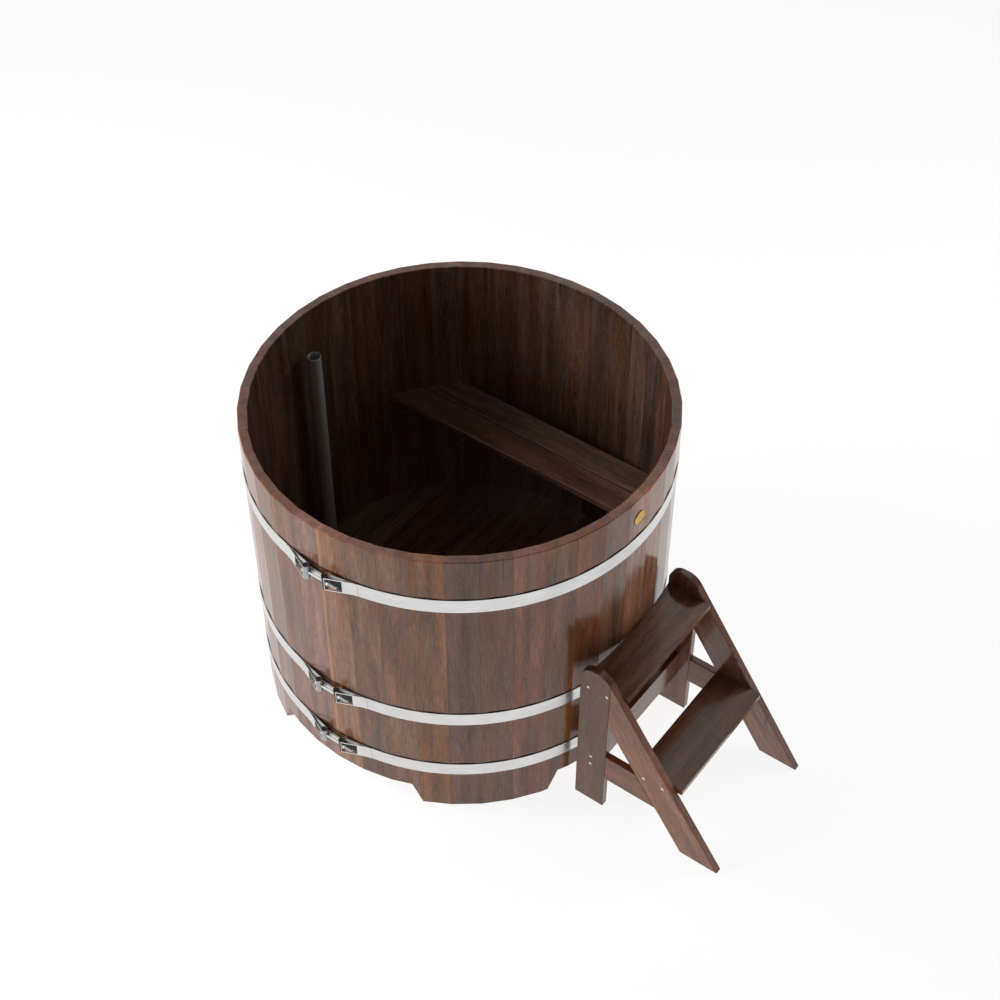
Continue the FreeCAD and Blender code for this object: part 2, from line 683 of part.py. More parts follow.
def make_drain_seat():
    """Flanged barrel through the floor, with the pipe's socket and a groove for the seal."""
    flange_radius = BARREL_RADIUS + FLANGE_WIDTH
    seal_middle = FLANGE_TOP - SEAL_DEPTH
    groove_radius = PIPE_RADIUS + 2 * (SEAL_SECTION_RADIUS + SEAL_CLEARANCE)
    groove_half = SEAL_SECTION_RADIUS + SEAL_CLEARANCE
    bore = SOCKET_RADIUS - SOCKET_SHOULDER
    seat = revolved([
        (bore, BARREL_BASE),
        (BARREL_RADIUS, BARREL_BASE),
        (BARREL_RADIUS, FLANGE_BASE),
        (flange_radius, FLANGE_BASE),
        (flange_radius, FLANGE_TOP - FLANGE_THICKNESS / 2),
        (flange_radius - FLANGE_THICKNESS / 2, FLANGE_TOP),
        (SOCKET_RADIUS, FLANGE_TOP),
        (SOCKET_RADIUS, seal_middle + groove_half),
        (groove_radius, seal_middle + groove_half),
        (groove_radius, seal_middle - groove_half),
        (SOCKET_RADIUS, seal_middle - groove_half),
        (SOCKET_RADIUS, PIPE_BASE),
        (bore, PIPE_BASE),
    ])
    return at_drain(seat)


def make_drain_seal():
    """Rubber ring round the standpipe, in the socket's groove."""
    centre_radius = PIPE_RADIUS + SEAL_CLEARANCE + SEAL_SECTION_RADIUS
    seal = Part.makeTorus(centre_radius, SEAL_SECTION_RADIUS)
    seal.translate(Vector(0, 0, FLANGE_TOP - SEAL_DEPTH))
    return at_drain(seal)


def make_drain_gasket():
    """Flat rubber ring between the flange and the floor."""
    inner = BARREL_RADIUS + DRAIN_HOLE_CLEARANCE
    outer = BARREL_RADIUS + FLANGE_WIDTH - FLANGE_THICKNESS / 2
    return at_drain(ring(inner, outer, FLOOR_TOP, GASKET_THICKNESS))


def make_lock_nut():
    """Hexagonal lock nut that pulls the flange down on the floor."""
    flats = 2 * (BARREL_RADIUS + LOCK_NUT_WIDTH)
    base = FLOOR_UNDERSIDE - LOCK_NUT_HEIGHT
    bore = Part.makeCylinder(BARREL_RADIUS + NUT_FIT, LOCK_NUT_HEIGHT, Vector(0, 0, base))
    return at_drain(hexagon(flats, base, LOCK_NUT_HEIGHT).cut(bore))


def make_outlet():
    """Elbow under the drain, whose plain end points out through the opening between two feet."""
    outward = Vector(0, 1, 0)
    turn = Vector(0, 0, OUTLET_HEIGHT)
    drop = BARREL_BASE - OUTLET_HEIGHT
    reach = OUTER_FACE - OUTLET_INSET - DRAIN_Y
    collar_foot = Vector(0, 0, BARREL_BASE - ELBOW_COLLAR_HEIGHT)
    outside = Part.makeCylinder(ELBOW_RADIUS, drop, turn).multiFuse([
        Part.makeCylinder(BARREL_RADIUS, ELBOW_COLLAR_HEIGHT, collar_foot),
        Part.makeSphere(ELBOW_RADIUS, turn),
        Part.makeCylinder(ELBOW_RADIUS, reach - OUTLET_LENGTH, turn, outward),
        Part.makeCylinder(OUTLET_RADIUS, reach, turn, outward),
    ])
    bore = OUTLET_RADIUS - OUTLET_WALL
    inside = Part.makeCylinder(bore, drop, turn).multiFuse([
        Part.makeSphere(bore, turn),
        Part.makeCylinder(bore, reach, turn, outward),
    ])
    return at_drain(outside.cut(inside).removeSplitter()).Solids[0]


def make_standpipe():
    """Open pipe that stands in the drain's socket and sets the water level."""
    length = PIPE_TOP - PIPE_BASE
    pipe = ring(PIPE_RADIUS - PIPE_WALL, PIPE_RADIUS, PIPE_BASE, length)
    top_edges = []
    for edge in pipe.Edges:
        at_top = abs(edge.BoundBox.ZMin - PIPE_TOP) < PIPE_EDGE_ROUND / 10
        if at_top and edge.BoundBox.ZLength < PIPE_EDGE_ROUND / 10:
            top_edges.append(edge)
    return at_drain(pipe.makeFillet(PIPE_EDGE_ROUND, top_edges))


# Bench

def wall_prism(gap, base, height):
    """Space inside the staves, kept gap away from their flat faces."""
    corner = (INNER_FACE - gap) / math.cos(HALF_STEP)
    points = []
    for index in range(STAVE_COUNT):
        points.append(polar(corner, CLAMP_SIDE_ANGLE + STAVE_STEP * index, base))
    return prism(points, UP * height)


def make_bench_plank(start, holes):
    """Plank along Y from wall to wall, with rounded long edges."""
    low = Vector(start, -TUB_RADIUS, BENCH_UNDERSIDE)
    high = Vector(start + BENCH_PLANK_WIDTH, TUB_RADIUS, BENCH_TOP)
    plank = box(low, high)
    long_edges = [edge for edge in plank.Edges if edge.BoundBox.YLength > TUB_RADIUS]
    plank = plank.makeFillet(BENCH_EDGE_ROUND, long_edges)
    inside = wall_prism(BENCH_END_GAP, BENCH_UNDERSIDE, BENCH_PLANK_THICKNESS)
    return drilled(plank.common(inside), holes)


def make_ledger(side, holes):
    """Curved ledger on the wall under one end of the bench."""
    base = BENCH_UNDERSIDE - LEDGER_HEIGHT
    curve = wall_prism(LEDGER_WALL_GAP, base, LEDGER_HEIGHT)
    curve = curve.cut(Part.makeCylinder(LEDGER_INNER, LEDGER_HEIGHT, Vector(0, 0, base)))
    near, far = sorted((0.0, side * TUB_RADIUS))
    low = Vector(BENCH_FRONT + LEDGER_INSET, near, base)
    high = Vector(BENCH_BACK - LEDGER_INSET, far, BENCH_UNDERSIDE)
    return drilled(curve.common(box(low, high)), holes)


def make_tie(holes):
    """Batten under the middle of the bench that keeps its planks level."""
    low = Vector(BENCH_FRONT + TIE_SETBACK, -TIE_WIDTH / 2, BENCH_UNDERSIDE - TIE_THICKNESS)
    high = Vector(BENCH_BACK - TIE_SETBACK, TIE_WIDTH / 2, BENCH_UNDERSIDE)
    return drilled(box(low, high), holes)


def bench_screw_spots():
    """Screws up through the ledgers into the planks."""
    radius = (LEDGER_INNER + INNER_FACE) / 2
    base = BENCH_UNDERSIDE - LEDGER_HEIGHT
    spots = []
    for start in BENCH_STARTS:
        x = start + BENCH_PLANK_WIDTH / 2
        y = math.sqrt(radius * radius - x * x)
        spots.append((Vector(x, y, base), UP))
        spots.append((Vector(x, -y, base), UP))
    return spots


def tie_screw_spots():
    """Screws up through the tie batten into the planks."""
    base = BENCH_UNDERSIDE - TIE_THICKNESS
    return [
        (Vector(start + BENCH_PLANK_WIDTH / 2, side * TIE_WIDTH / 4, base), UP)
        for start in BENCH_STARTS
        for side in (-1, 1)
    ]


def ledger_screw_spots():
    """Screws through the ledgers into the middle of the staves behind them."""
    height = BENCH_UNDERSIDE - LEDGER_HEIGHT / 2
    margin = LEDGER_INSET + 2 * SCREW_HEAD_RADIUS
    spots = []
    for index in range(STAVE_COUNT):
        start = polar(LEDGER_INNER, stave_angle(index), height)
        if BENCH_FRONT + margin < start.x < BENCH_BACK - margin:
            spots.append((start, polar(1, stave_angle(index), 0)))
    return spots


# Brass disc

def badge_place():
    """Point and outward direction on the front stave for the disc."""
    front = int((FRONT_ANGLE - CLAMP_SIDE_ANGLE) / STAVE_STEP)
    angle = stave_angle(front)
    return polar(OUTER_FACE, angle, TUB_HEIGHT - BADGE_DROP), polar(1, angle, 0)


def make_badge():
    """Plain disc with a raised rim and a pin into the stave."""
    rim_top = BADGE_THICKNESS + BADGE_RIM_HEIGHT
    rim_inner = BADGE_RADIUS - BADGE_RIM_WIDTH
    disc = revolved([
        (0, -BADGE_PIN_LENGTH),
        (BADGE_PIN_RADIUS, -BADGE_PIN_LENGTH),
        (BADGE_PIN_RADIUS, 0),
        (BADGE_RADIUS, 0),
        (BADGE_RADIUS, BADGE_THICKNESS),
        (BADGE_RADIUS - BADGE_RIM_HEIGHT, rim_top),
        (rim_inner + BADGE_RIM_HEIGHT, rim_top),
        (rim_inner, BADGE_THICKNESS),
        (0, BADGE_THICKNESS + BADGE_RIM_HEIGHT / 2),
    ])
    start, outward = badge_place()
    return aimed(disc, start, outward)


def badge_hole():
    """Hole in the stave for the disc's pin."""
    start, outward = badge_place()
    depth = BADGE_PIN_LENGTH + SCREW_CLEARANCE
    return Part.makeCylinder(BADGE_PIN_RADIUS + SCREW_CLEARANCE, depth, start, outward * -1)


# Ladder

def front_edge(height):
    """Distance of the legs' front edge from the tub's axis at a height."""
    return TOE - height * math.tan(LEAN)


def back_edge(height):
    """Distance of the legs' back edge from the tub's axis at a height."""
    return HEEL - height * math.tan(LEAN)


def edge_height(edge_foot, distance):
    """Height at which a leg's edge that starts at edge_foot reaches a distance from the axis."""
    return (edge_foot - distance) / math.tan(LEAN)


def softened_board(face):
    """Board of the ladder's side thickness along +X, with its long edges rounded."""
    board = face.extrude(Vector(SIDE_THICKNESS, 0, 0))
    outline = [edge for edge in board.Edges if edge.BoundBox.XLength < SIDE_THICKNESS / 2]
    return board.makeFillet(SIDE_EDGE_ROUND, outline)


def straight_board(left, outline):
    """Side board from (distance, height) corners."""
    points = [Vector(left, -distance, height) for distance, height in outline]
    return softened_board(Part.Face(Part.makePolygon(points + points[:1])))


def make_post(left):
    """Upright back post whose round top runs into the leg's slope at the joint with the leg."""
    shoulder = edge_height(TOE, POST_FRONT)
    front_out = POST_FRONT - POST_FRONT_ROUND * math.cos(LEAN)
    front_up = shoulder - POST_FRONT_ROUND * math.sin(LEAN)
    top = front_up + POST_FRONT_ROUND
    back_round = min(POST_BACK_ROUND, POST_ROUND_SHARE * (front_out - POST_BACK))
    back_out = POST_BACK + back_round
    slope_angle = (LEAN + math.pi / 2) / 2
    front_middle = Vector(
        left,
        -front_out - POST_FRONT_ROUND * math.cos(slope_angle),
        front_up + POST_FRONT_ROUND * math.sin(slope_angle),
    )
    diagonal = back_round * math.sqrt(0.5)
    back_middle = Vector(left, -back_out + diagonal, top - back_round + diagonal)
    corners = [
        Vector(left, -POST_BACK, top - back_round),
        Vector(left, -POST_BACK, 0),
        Vector(left, -POST_FRONT, 0),
        Vector(left, -POST_FRONT, shoulder),
        Vector(left, -front_out, top),
        Vector(left, -back_out, top),
    ]
    edges = [Part.makeLine(corners[index], corners[index + 1]) for index in range(3)]
    edges.append(Part.Arc(corners[3], front_middle, corners[4]).toShape())
    edges.append(Part.makeLine(corners[4], corners[5]))
    edges.append(Part.Arc(corners[5], back_middle, corners[0]).toShape())
    return softened_board(Part.Face(Part.Wire(edges)))


def make_leg(left):
    """Sloping front leg, cut level on the ground and upright against the post."""
    return straight_board(left, [
        (TOE, 0),
        (HEEL, 0),
        (POST_FRONT, edge_height(HEEL, POST_FRONT)),
        (POST_FRONT, edge_height(TOE, POST_FRONT)),
    ])


def make_brace(left):
    """Level board between a post and its leg."""
    return straight_board(left, [
        (POST_FRONT, RAIL_BASE),
        (back_edge(RAIL_BASE), RAIL_BASE),
        (back_edge(RAIL_TOP), RAIL_TOP),
        (POST_FRONT, RAIL_TOP),
    ])


def make_tread(back, depth, top, hollow=0.0):
    """Tread between the side frames with rounded long edges, its back edge hollowed to clear the tub."""
    level = top - TREAD_THICKNESS
    corners = [
        Vector(TREAD_LEFT, -back + hollow, level),
        Vector(TREAD_LEFT, -back - depth, level),
        Vector(TREAD_RIGHT, -back - depth, level),
        Vector(TREAD_RIGHT, -back + hollow, level),
    ]
    back_middle = Vector(LADDER_OFFSET, -back, level)
    edges = [Part.makeLine(corners[index], corners[index + 1]) for index in range(3)]
    if hollow:
        edges.append(Part.Arc(corners[3], back_middle, corners[0]).toShape())
    else:
        edges.append(Part.makeLine(corners[3], corners[0]))
    tread = Part.Face(Part.Wire(edges)).extrude(UP * TREAD_THICKNESS)
    long_edges = [edge for edge in tread.Edges if edge.BoundBox.XLength > LADDER_WIDTH / 2]
    return tread.makeFillet(TREAD_ROUND, long_edges)


def make_rear_rail():
    """Board on edge between the two posts."""
    back = POST_BACK + RAIL_SETBACK
    low = Vector(TREAD_LEFT, -back - RAIL_THICKNESS, RAIL_BASE)
    high = Vector(TREAD_RIGHT, -back, RAIL_TOP)
    rail = box(low, high)
    long_edges = [edge for edge in rail.Edges if edge.BoundBox.XLength > LADDER_WIDTH / 2]
    return rail.makeFillet(SIDE_EDGE_ROUND, long_edges)


def lower_tread_back():
    """Back edge of the lower tread, from the tub's axis."""
    return back_edge(LOWER_TREAD_MIDDLE) - LOWER_TREAD_SETBACK


def side_screw_spots():
    """(distance, height) of the screws through each side frame into the treads and the rail."""
    upper = (TREAD_BACK + POST_FRONT) / 2
    lower = (back_edge(LOWER_TREAD_MIDDLE) + front_edge(LOWER_TREAD_MIDDLE)) / 2
    rail = POST_BACK + RAIL_SETBACK + RAIL_THICKNESS / 2
    rail_middle = (RAIL_BASE + RAIL_TOP) / 2
    spots = []
    for sign in (-1, 1):
        spots.append((upper + sign * TREAD_SCREW_SPACING / 2, UPPER_TREAD_MIDDLE))
        spots.append((lower + sign * TREAD_SCREW_SPACING / 2, LOWER_TREAD_MIDDLE))
        spots.append((rail, rail_middle + sign * RAIL_SCREW_SPACING / 2))
    return spots


def side_screw(grow=0.0):
    """Button-head screw along +Z, with the underside of its head at the origin."""
    shank = SIDE_SCREW_RADIUS + grow
    end = SIDE_SCREW_LENGTH + grow
    tip = SCREW_TIP_RADIUS + grow
    return revolved([(0, 0), (shank, 0), (shank, end - SCREW_TIP), (tip, end), (0, end)])


def button_head():
    """Domed head with a hexagonal socket."""
    dome_radius = (BUTTON_RADIUS ** 2 + BUTTON_HEIGHT ** 2) / (2 * BUTTON_HEIGHT)
    dome = Part.makeSphere(dome_radius, Vector(0, 0, dome_radius - BUTTON_HEIGHT))
    cap = Part.makeCylinder(BUTTON_RADIUS, BUTTON_HEIGHT, Vector(0, 0, -BUTTON_HEIGHT))
    corner = BUTTON_SOCKET_FLATS / 2 / math.cos(math.radians(30))
    points = [polar(corner, 60 * side, -BUTTON_HEIGHT) for side in range(6)]
    return dome.common(cap).cut(prism(points, UP * BUTTON_SOCKET_DEPTH))


def make_side_screws():
    """Screws and their holes on both sides of the ladder."""
    screw = side_screw().fuse(button_head()).removeSplitter()
    hole = side_screw(SCREW_CLEARANCE)
    solids = []
    holes = []
    for distance, height in side_screw_spots():
        for face, inward in ((LADDER_LEFT, 1), (LADDER_RIGHT, -1)):
            start = Vector(face, -distance, height)
            direction = Vector(inward, 0, 0)
            solids.append(aimed(screw, start, direction))
            holes.append(aimed(hole, start, direction))
    return solids, holes


def dowel_spots():
    """(distance, height, direction) of the dowels in each side frame's three joints."""
    level = Vector(0, -1, 0)
    square_to_leg = Vector(0, -math.cos(LEAN), math.sin(LEAN))
    leg_low = edge_height(HEEL, POST_FRONT)
    leg_high = edge_height(TOE, POST_FRONT)
    spots = []
    for share in DOWEL_PLACES:
        spots.append((POST_FRONT, leg_low + share * (leg_high - leg_low), level))
        brace_height = RAIL_BASE + share * RAIL_WIDTH
        spots.append((POST_FRONT, brace_height, level))
        spots.append((back_edge(brace_height), brace_height, square_to_leg))
    return spots


def make_dowels():
    """Dowels and their holes in both side frames."""
    peg = Part.makeCylinder(DOWEL_RADIUS, DOWEL_LENGTH)
    hole = Part.makeCylinder(DOWEL_RADIUS + DOWEL_CLEARANCE, DOWEL_LENGTH)
    solids = []
    holes = []
    for left in (LADDER_LEFT, LADDER_RIGHT - SIDE_THICKNESS):
        for distance, height, direction in dowel_spots():
            middle = Vector(left + SIDE_THICKNESS / 2, -distance, height)
            start = middle - direction * (DOWEL_LENGTH / 2)
            solids.append(aimed(peg, start, direction))
            holes.append(aimed(hole, start, direction))
    return solids, holes


def make_ladder():
    """Two side frames, two treads, the rear rail and their fasteners."""
    screws, screw_holes = make_side_screws()
    dowels, dowel_holes = make_dowels()
    holes = screw_holes + dowel_holes
    sides = {"left": LADDER_LEFT, "right": LADDER_RIGHT - SIDE_THICKNESS}
    pieces = {}
    for side, left in sides.items():
        pieces["ladder_post_" + side] = [drilled(make_post(left), holes)]
        pieces["ladder_leg_" + side] = [drilled(make_leg(left), holes)]
        pieces["ladder_brace_" + side] = [drilled(make_brace(left), holes)]
    upper = make_tread(TREAD_BACK, UPPER_TREAD_DEPTH, UPPER_TREAD_TOP, POST_SETBACK)
    lower = make_tread(lower_tread_back(), LOWER_TREAD_DEPTH, LOWER_TREAD_TOP)
    pieces["ladder_tread_upper"] = [drilled(upper, screw_holes)]
    pieces["ladder_tread_lower"] = [drilled(lower, screw_holes)]
    pieces["ladder_rear_rail"] = [drilled(make_rear_rail(), screw_holes)]
    pieces["ladder_screws"] = screws
    pieces["ladder_dowels"] = dowels
    return pieces


def make_tub():
    """Staves, floor, hoops with their clamps, drain, bench and disc."""
    floor_screws, floor_holes = placed_screws(floor_screw_spots(), FLOOR_SCREW_LENGTH)
    bench_screws, bench_holes = placed_screws(bench_screw_spots(), BENCH_SCREW_LENGTH)
    tie_screws, tie_holes = placed_screws(tie_screw_spots(), TIE_SCREW_LENGTH)
    ledger_screws, ledger_holes = placed_screws(ledger_screw_spots(), BENCH_SCREW_LENGTH)
    plank_holes = bench_holes + tie_holes
    pieces = stave_groups(make_staves(ledger_holes + [badge_hole()]))
    boards = make_floor(floor_holes)
    pieces["floor_board_drain"] = [boards.pop(drained_board())]
    pieces["floor_boards"] = boards
    pieces["floor_battens"] = make_battens(floor_holes)
    pieces["floor_screws"] = floor_screws
    for name, base in HOOP_BASES.items():
        pieces["hoop_" + name] = [make_hoop(base)]
        pieces["clamp_trunnions_" + name] = make_trunnions(base)
        pieces["clamp_bolt_" + name] = [make_bolt(base)]
        pieces["clamp_washer_" + name] = [make_washer(base)]
        pieces["clamp_nut_" + name] = [make_nut(base)]
    pieces["drain_seat"] = [make_drain_seat()]
    pieces["drain_seal"] = [make_drain_seal()]
    pieces["drain_gasket"] = [make_drain_gasket()]
    pieces["drain_lock_nut"] = [make_lock_nut()]
    pieces["drain_outlet"] = [make_outlet()]
    pieces["standpipe"] = [make_standpipe()]
    pieces["bench_plank_front"] = [make_bench_plank(BENCH_STARTS[0], plank_holes)]
    pieces["bench_plank_back"] = [make_bench_plank(BENCH_STARTS[1], plank_holes)]
    pieces["bench_ledger_near"] = [make_ledger(-1, bench_holes + ledger_holes)]
    pieces["bench_ledger_far"] = [make_ledger(1, bench_holes + ledger_holes)]
    pieces["bench_tie"] = [make_tie(tie_holes)]
    pieces["bench_screws"] = bench_screws + ledger_screws + tie_screws
    pieces["badge_disc"] = [make_badge()]
    return pieces


def main():
    """Write each named piece, or group of like pieces, to its own file."""
    os.makedirs("parts", exist_ok=True)
    pieces = make_tub()
    pieces.update(make_ladder())
    to_footprint = Vector(-FOOTPRINT_X, -FOOTPRINT_Y, 0)
    for name, solids in pieces.items():
        group = Part.makeCompound(solids)
        group.translate(to_footprint)
        group.exportStep("parts/" + name + ".step")
        print(name, len(group.Solids), "solids", group.isValid(), round(group.Volume / 1000, 1), "cm3")


main()
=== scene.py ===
import bpy
import math
from mathutils import Euler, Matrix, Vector


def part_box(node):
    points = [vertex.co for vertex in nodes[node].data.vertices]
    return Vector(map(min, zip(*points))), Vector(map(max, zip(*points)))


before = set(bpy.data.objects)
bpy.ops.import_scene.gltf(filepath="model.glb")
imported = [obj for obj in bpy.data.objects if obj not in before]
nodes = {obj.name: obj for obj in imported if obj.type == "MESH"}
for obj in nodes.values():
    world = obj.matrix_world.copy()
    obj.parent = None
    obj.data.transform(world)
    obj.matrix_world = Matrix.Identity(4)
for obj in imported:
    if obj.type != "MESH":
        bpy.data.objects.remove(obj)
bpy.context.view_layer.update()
scene = bpy.context.scene

# Plunge tub of dark stained, varnished staves in three bright steel hoops, with its step ladder.
# Metres, +Z up: the ladder is on the -Y side, the drain on the +Y side, the bench on the +X side
# and the hoop clamps on the -X side.

TUB_AXIS = (0.014936, 0.29, 0)
RIM_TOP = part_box("wall_staves_front")[1][2]
STAVE_COUNT = 43
STAVE_STEP = 2 * math.pi / STAVE_COUNT
STAVE_MIDDLE = 0.731             # tub's axis to the middle of a stave's thickness
STAVE_OUTSIDE = 0.012            # past this, measured outwards from that middle, is a stave's outside
STAVE_INSIDE = -0.016            # short of this is its inside
FLOOR_RADIUS = 0.7237
FLOOR_BOARDS = 12
FLOOR_MIDDLE = 0.147             # height of the middle of the floor's thickness
LEG_LEAN = math.radians(35.2)
RIGHT_ANGLE = math.radians(90)

HOOPS = ("upper", "middle", "lower")
HOOP_RADIUS = 0.752
STRAP_LEAVE = math.radians(12)   # from a clamp's middle to where its strap leaves the wall
WELD_SIDE = 0.132                # from a clamp's middle to the weld of a folded strap end
FOLD_SIDE = 0.0285               # from a clamp's middle to the end of a fold
FOLD_WIDTH = 0.0155
CLAMP_INNER = 0.762              # tub's axis to the inner side of a clamp's folds
LIP_HEIGHT = 0.016               # upper strip of a strap behind its folded end, painted a lit grey


# Wiring of shader nodes

def feed(tree, value, socket):
    """Link a socket or set a constant."""
    if isinstance(value, bpy.types.NodeSocket):
        tree.links.new(value, socket)
    else:
        socket.default_value = value


def sums(tree, operation, first, second=None, third=None):
    """One math node."""
    node = tree.nodes.new("ShaderNodeMath")
    node.operation = operation
    for socket, value in zip(node.inputs, (first, second, third)):
        if value is not None:
            feed(tree, value, socket)
    return node.outputs[0]


def times(tree, first, *others):
    """Product of two or more values."""
    for other in others:
        first = sums(tree, "MULTIPLY", first, other)
    return first


def over(tree, value, limit):
    """1 where a value is over a limit, 0 elsewhere."""
    return sums(tree, "GREATER_THAN", value, limit)


def under(tree, value, limit):
    """1 where a value is under a limit, 0 elsewhere."""
    return sums(tree, "LESS_THAN", value, limit)


def diagonal(tree, first, second):
    """Length of the line whose two legs are given."""
    return sums(tree, "SQRT", sums(tree, "ADD", times(tree, first, first), times(tree, second, second)))


def vector_sums(tree, operation, first, second):
    """One vector math node."""
    node = tree.nodes.new("ShaderNodeVectorMath")
    node.operation = operation
    feed(tree, first, node.inputs[0])
    feed(tree, second, node.inputs[1])
    return node.outputs[0]


def split(tree, vector):
    """The three parts of a vector."""
    node = tree.nodes.new("ShaderNodeSeparateXYZ")
    feed(tree, vector, node.inputs[0])
    return list(node.outputs)


def join(tree, x, y, z):
    """A vector from its three parts."""
    node = tree.nodes.new("ShaderNodeCombineXYZ")
    for socket, value in zip(node.inputs, (x, y, z)):
        feed(tree, value, socket)
    return node.outputs[0]


def spread(tree, value, low, high, to_low=0.0, to_high=1.0, smooth=True):
    """Map a value from one range to another, held at the ends."""
    node = tree.nodes.new("ShaderNodeMapRange")
    node.interpolation_type = "SMOOTHSTEP" if smooth else "LINEAR"
    for socket, number in zip(node.inputs[:5], (value, low, high, to_low, to_high)):
        feed(tree, number, socket)
    return node.outputs[0]


def fall(tree, value, low, high):
    """1 below a range, 0 above it and a smooth slope between."""
    return spread(tree, value, low, high, 1.0, 0.0)


def scaled(tree, value, low, high, to_low, to_high):
    """Map a value from one range to another in a straight line, held at the ends."""
    return spread(tree, value, low, high, to_low, to_high, smooth=False)


def between(tree, draw, least, most):
    """A random draw from 0 to 1, made a number between two limits."""
    return scaled(tree, draw, 0, 1, least, most)


NOISE_MIDDLE = 0.5
NOISE_SPAN = (0.3, 0.7)          # most of a noise lies in this


def noise(tree, vector, scale, detail):
    """Cloudy noise about its middle, as a value and as a colour."""
    node = tree.nodes.new("ShaderNodeTexNoise")
    feed(tree, vector, node.inputs["Vector"])
    node.inputs["Scale"].default_value = scale
    node.inputs["Detail"].default_value = detail
    return node.outputs


def marks(tree, place, per_metre, detail):
    """Noise with its own number of marks per metre along each axis of a place."""
    return noise(tree, vector_sums(tree, "MULTIPLY", place, per_metre), 1.0, detail)


def blend(tree, share, first, second, how="MIX"):
    """Mix two colours."""
    node = tree.nodes.new("ShaderNodeMix")
    node.data_type = "RGBA"
    node.blend_type = how
    feed(tree, share, node.inputs[0])
    feed(tree, first, node.inputs[6])
    feed(tree, second, node.inputs[7])
    return node.outputs[2]


def chance(tree, number, offset):
    """Three random draws, from 0 to 1, that belong to a board."""
    node = tree.nodes.new("ShaderNodeTexWhiteNoise")
    node.noise_dimensions = "1D"
    feed(tree, sums(tree, "ADD", number, offset), node.inputs["W"])
    parts = tree.nodes.new("ShaderNodeSeparateColor")
    tree.links.new(node.outputs["Color"], parts.inputs[0])
    return parts.outputs


def from_axis(tree, position):
    """A position's X and Y from the tub's axis, and its height."""
    return split(tree, vector_sums(tree, "SUBTRACT", position, TUB_AXIS))


def new_group(name, takes, gives):
    """A shader node group, with its input and output sockets."""
    tree = bpy.data.node_groups.new(name, "ShaderNodeTree")
    for title, kind in takes:
        tree.interface.new_socket(title, in_out="INPUT", socket_type=kind)
    for title, kind in gives:
        tree.interface.new_socket(title, in_out="OUTPUT", socket_type=kind)
    start = tree.nodes.new("NodeGroupInput")
    end = tree.nodes.new("NodeGroupOutput")
    return tree, start.outputs, end.inputs


def use_group(tree, group, **values):
    """Place a node group in a material, with this material's own values."""
    node = tree.nodes.new("ShaderNodeGroup")
    node.node_tree = group
    for title, value in values.items():
        feed(tree, value, node.inputs[title])
    return node.outputs


# Place in a stave

def make_stave_place():
    """Position in the tub to position in a stave: through its thickness, across it and along it."""
    tree, takes, gives = new_group(
        "stave_place",
        [("Position", "NodeSocketVector")],
        [("Place", "NodeSocketVector"), ("Board", "NodeSocketFloat")],
    )
    x, y, height = from_axis(tree, takes["Position"])
    angle = sums(tree, "ARCTAN2", y, x)
    turn = sums(tree, "DIVIDE", sums(tree, "SUBTRACT", angle, math.pi), STAVE_STEP)
    board = sums(tree, "ADD", sums(tree, "FLOOR", turn), STAVE_COUNT)
    facing = sums(tree, "MULTIPLY_ADD", sums(tree, "ADD", board, 0.5), STAVE_STEP, math.pi)
    facing_x = sums(tree, "COSINE", facing)
    facing_y = sums(tree, "SINE", facing)
    outward = sums(tree, "ADD", times(tree, x, facing_x), times(tree, y, facing_y))
    across = sums(tree, "SUBTRACT", times(tree, y, facing_x), times(tree, x, facing_y))
    depth = sums(tree, "SUBTRACT", outward, STAVE_MIDDLE)
    feed(tree, join(tree, depth, across, height), gives["Place"])
    feed(tree, board, gives["Board"])
    return tree


# Grain of a stained board, in its own place: X through it, Y across it, Z along it

LOG_DRAW = 0.31                  # which random draws place a board in its log
TONE_DRAW = 57.7                 # which random draws set its tone
BOARD_SHIFT = 3.17               # how far apart two boards' marks are taken

# Marks per metre through, across and along a board, and how fine they get
WANDER = ((5, 5, 1.1), 2.0)
RIPPLE = ((60, 60, 7), 1.0)
FIBRE = ((420, 420, 9), 3.0)
FLECKS = ((190, 190, 24), 2.0)
BANDS = ((24, 24, 2.2), 2.5)
PATCHES = ((7, 9, 1.7), 2.0)
PITCH_STREAKS = ((95, 95, 6), 1.0)
CROWN_WAVES = ((34, 34, 15), 2.0)
CROWN_BREAKS = ((130, 130, 24), 1.0)

FIBRE_SPAN = (0.25, 0.75)
PATCH_SPAN = (0.2, 0.8)
WANDER_REACH = 0.05
RIPPLE_REACH = 0.003
PITH_BEHIND = (-0.13, -0.035)
PITH_ASIDE = 0.09
PITH_LEAN = 0.035
RING_WIDTH = 0.0052
RING_DARKENS = (0.3, 0.9)        # shares of a ring's width
RING_ENDS = (0.93, 1.0)
RING_PATCHES = (0.35, 0.8)       # patch noise over which rings get darker

CROWN_ASIDE = 0.024              # furthest middle of the crowns from the middle of the board
CROWN_EDGE = (0.006, 0.024)      # from their middle, where crowns fade out
CROWN_TURN = (0.49, 0.51)        # draw at which crowns turn from pointing one way to the other
CROWN_PATCHES = (0.42, 0.56)     # patch noise over which crowns show
CROWN_GAPS = (0.36, 0.56)        # break noise under which they stop
CROWN_PITCH = 0.021
CROWN_SLOPE = 2.4
CROWN_WAVE_HEIGHT = 0.1
CROWN_DARKENS = (0.25, 0.6)      # shares of the pitch
CROWN_ENDS = (0.8, 1.0)
CROWNED_BOARDS = 0.7             # share of boards that have crowns

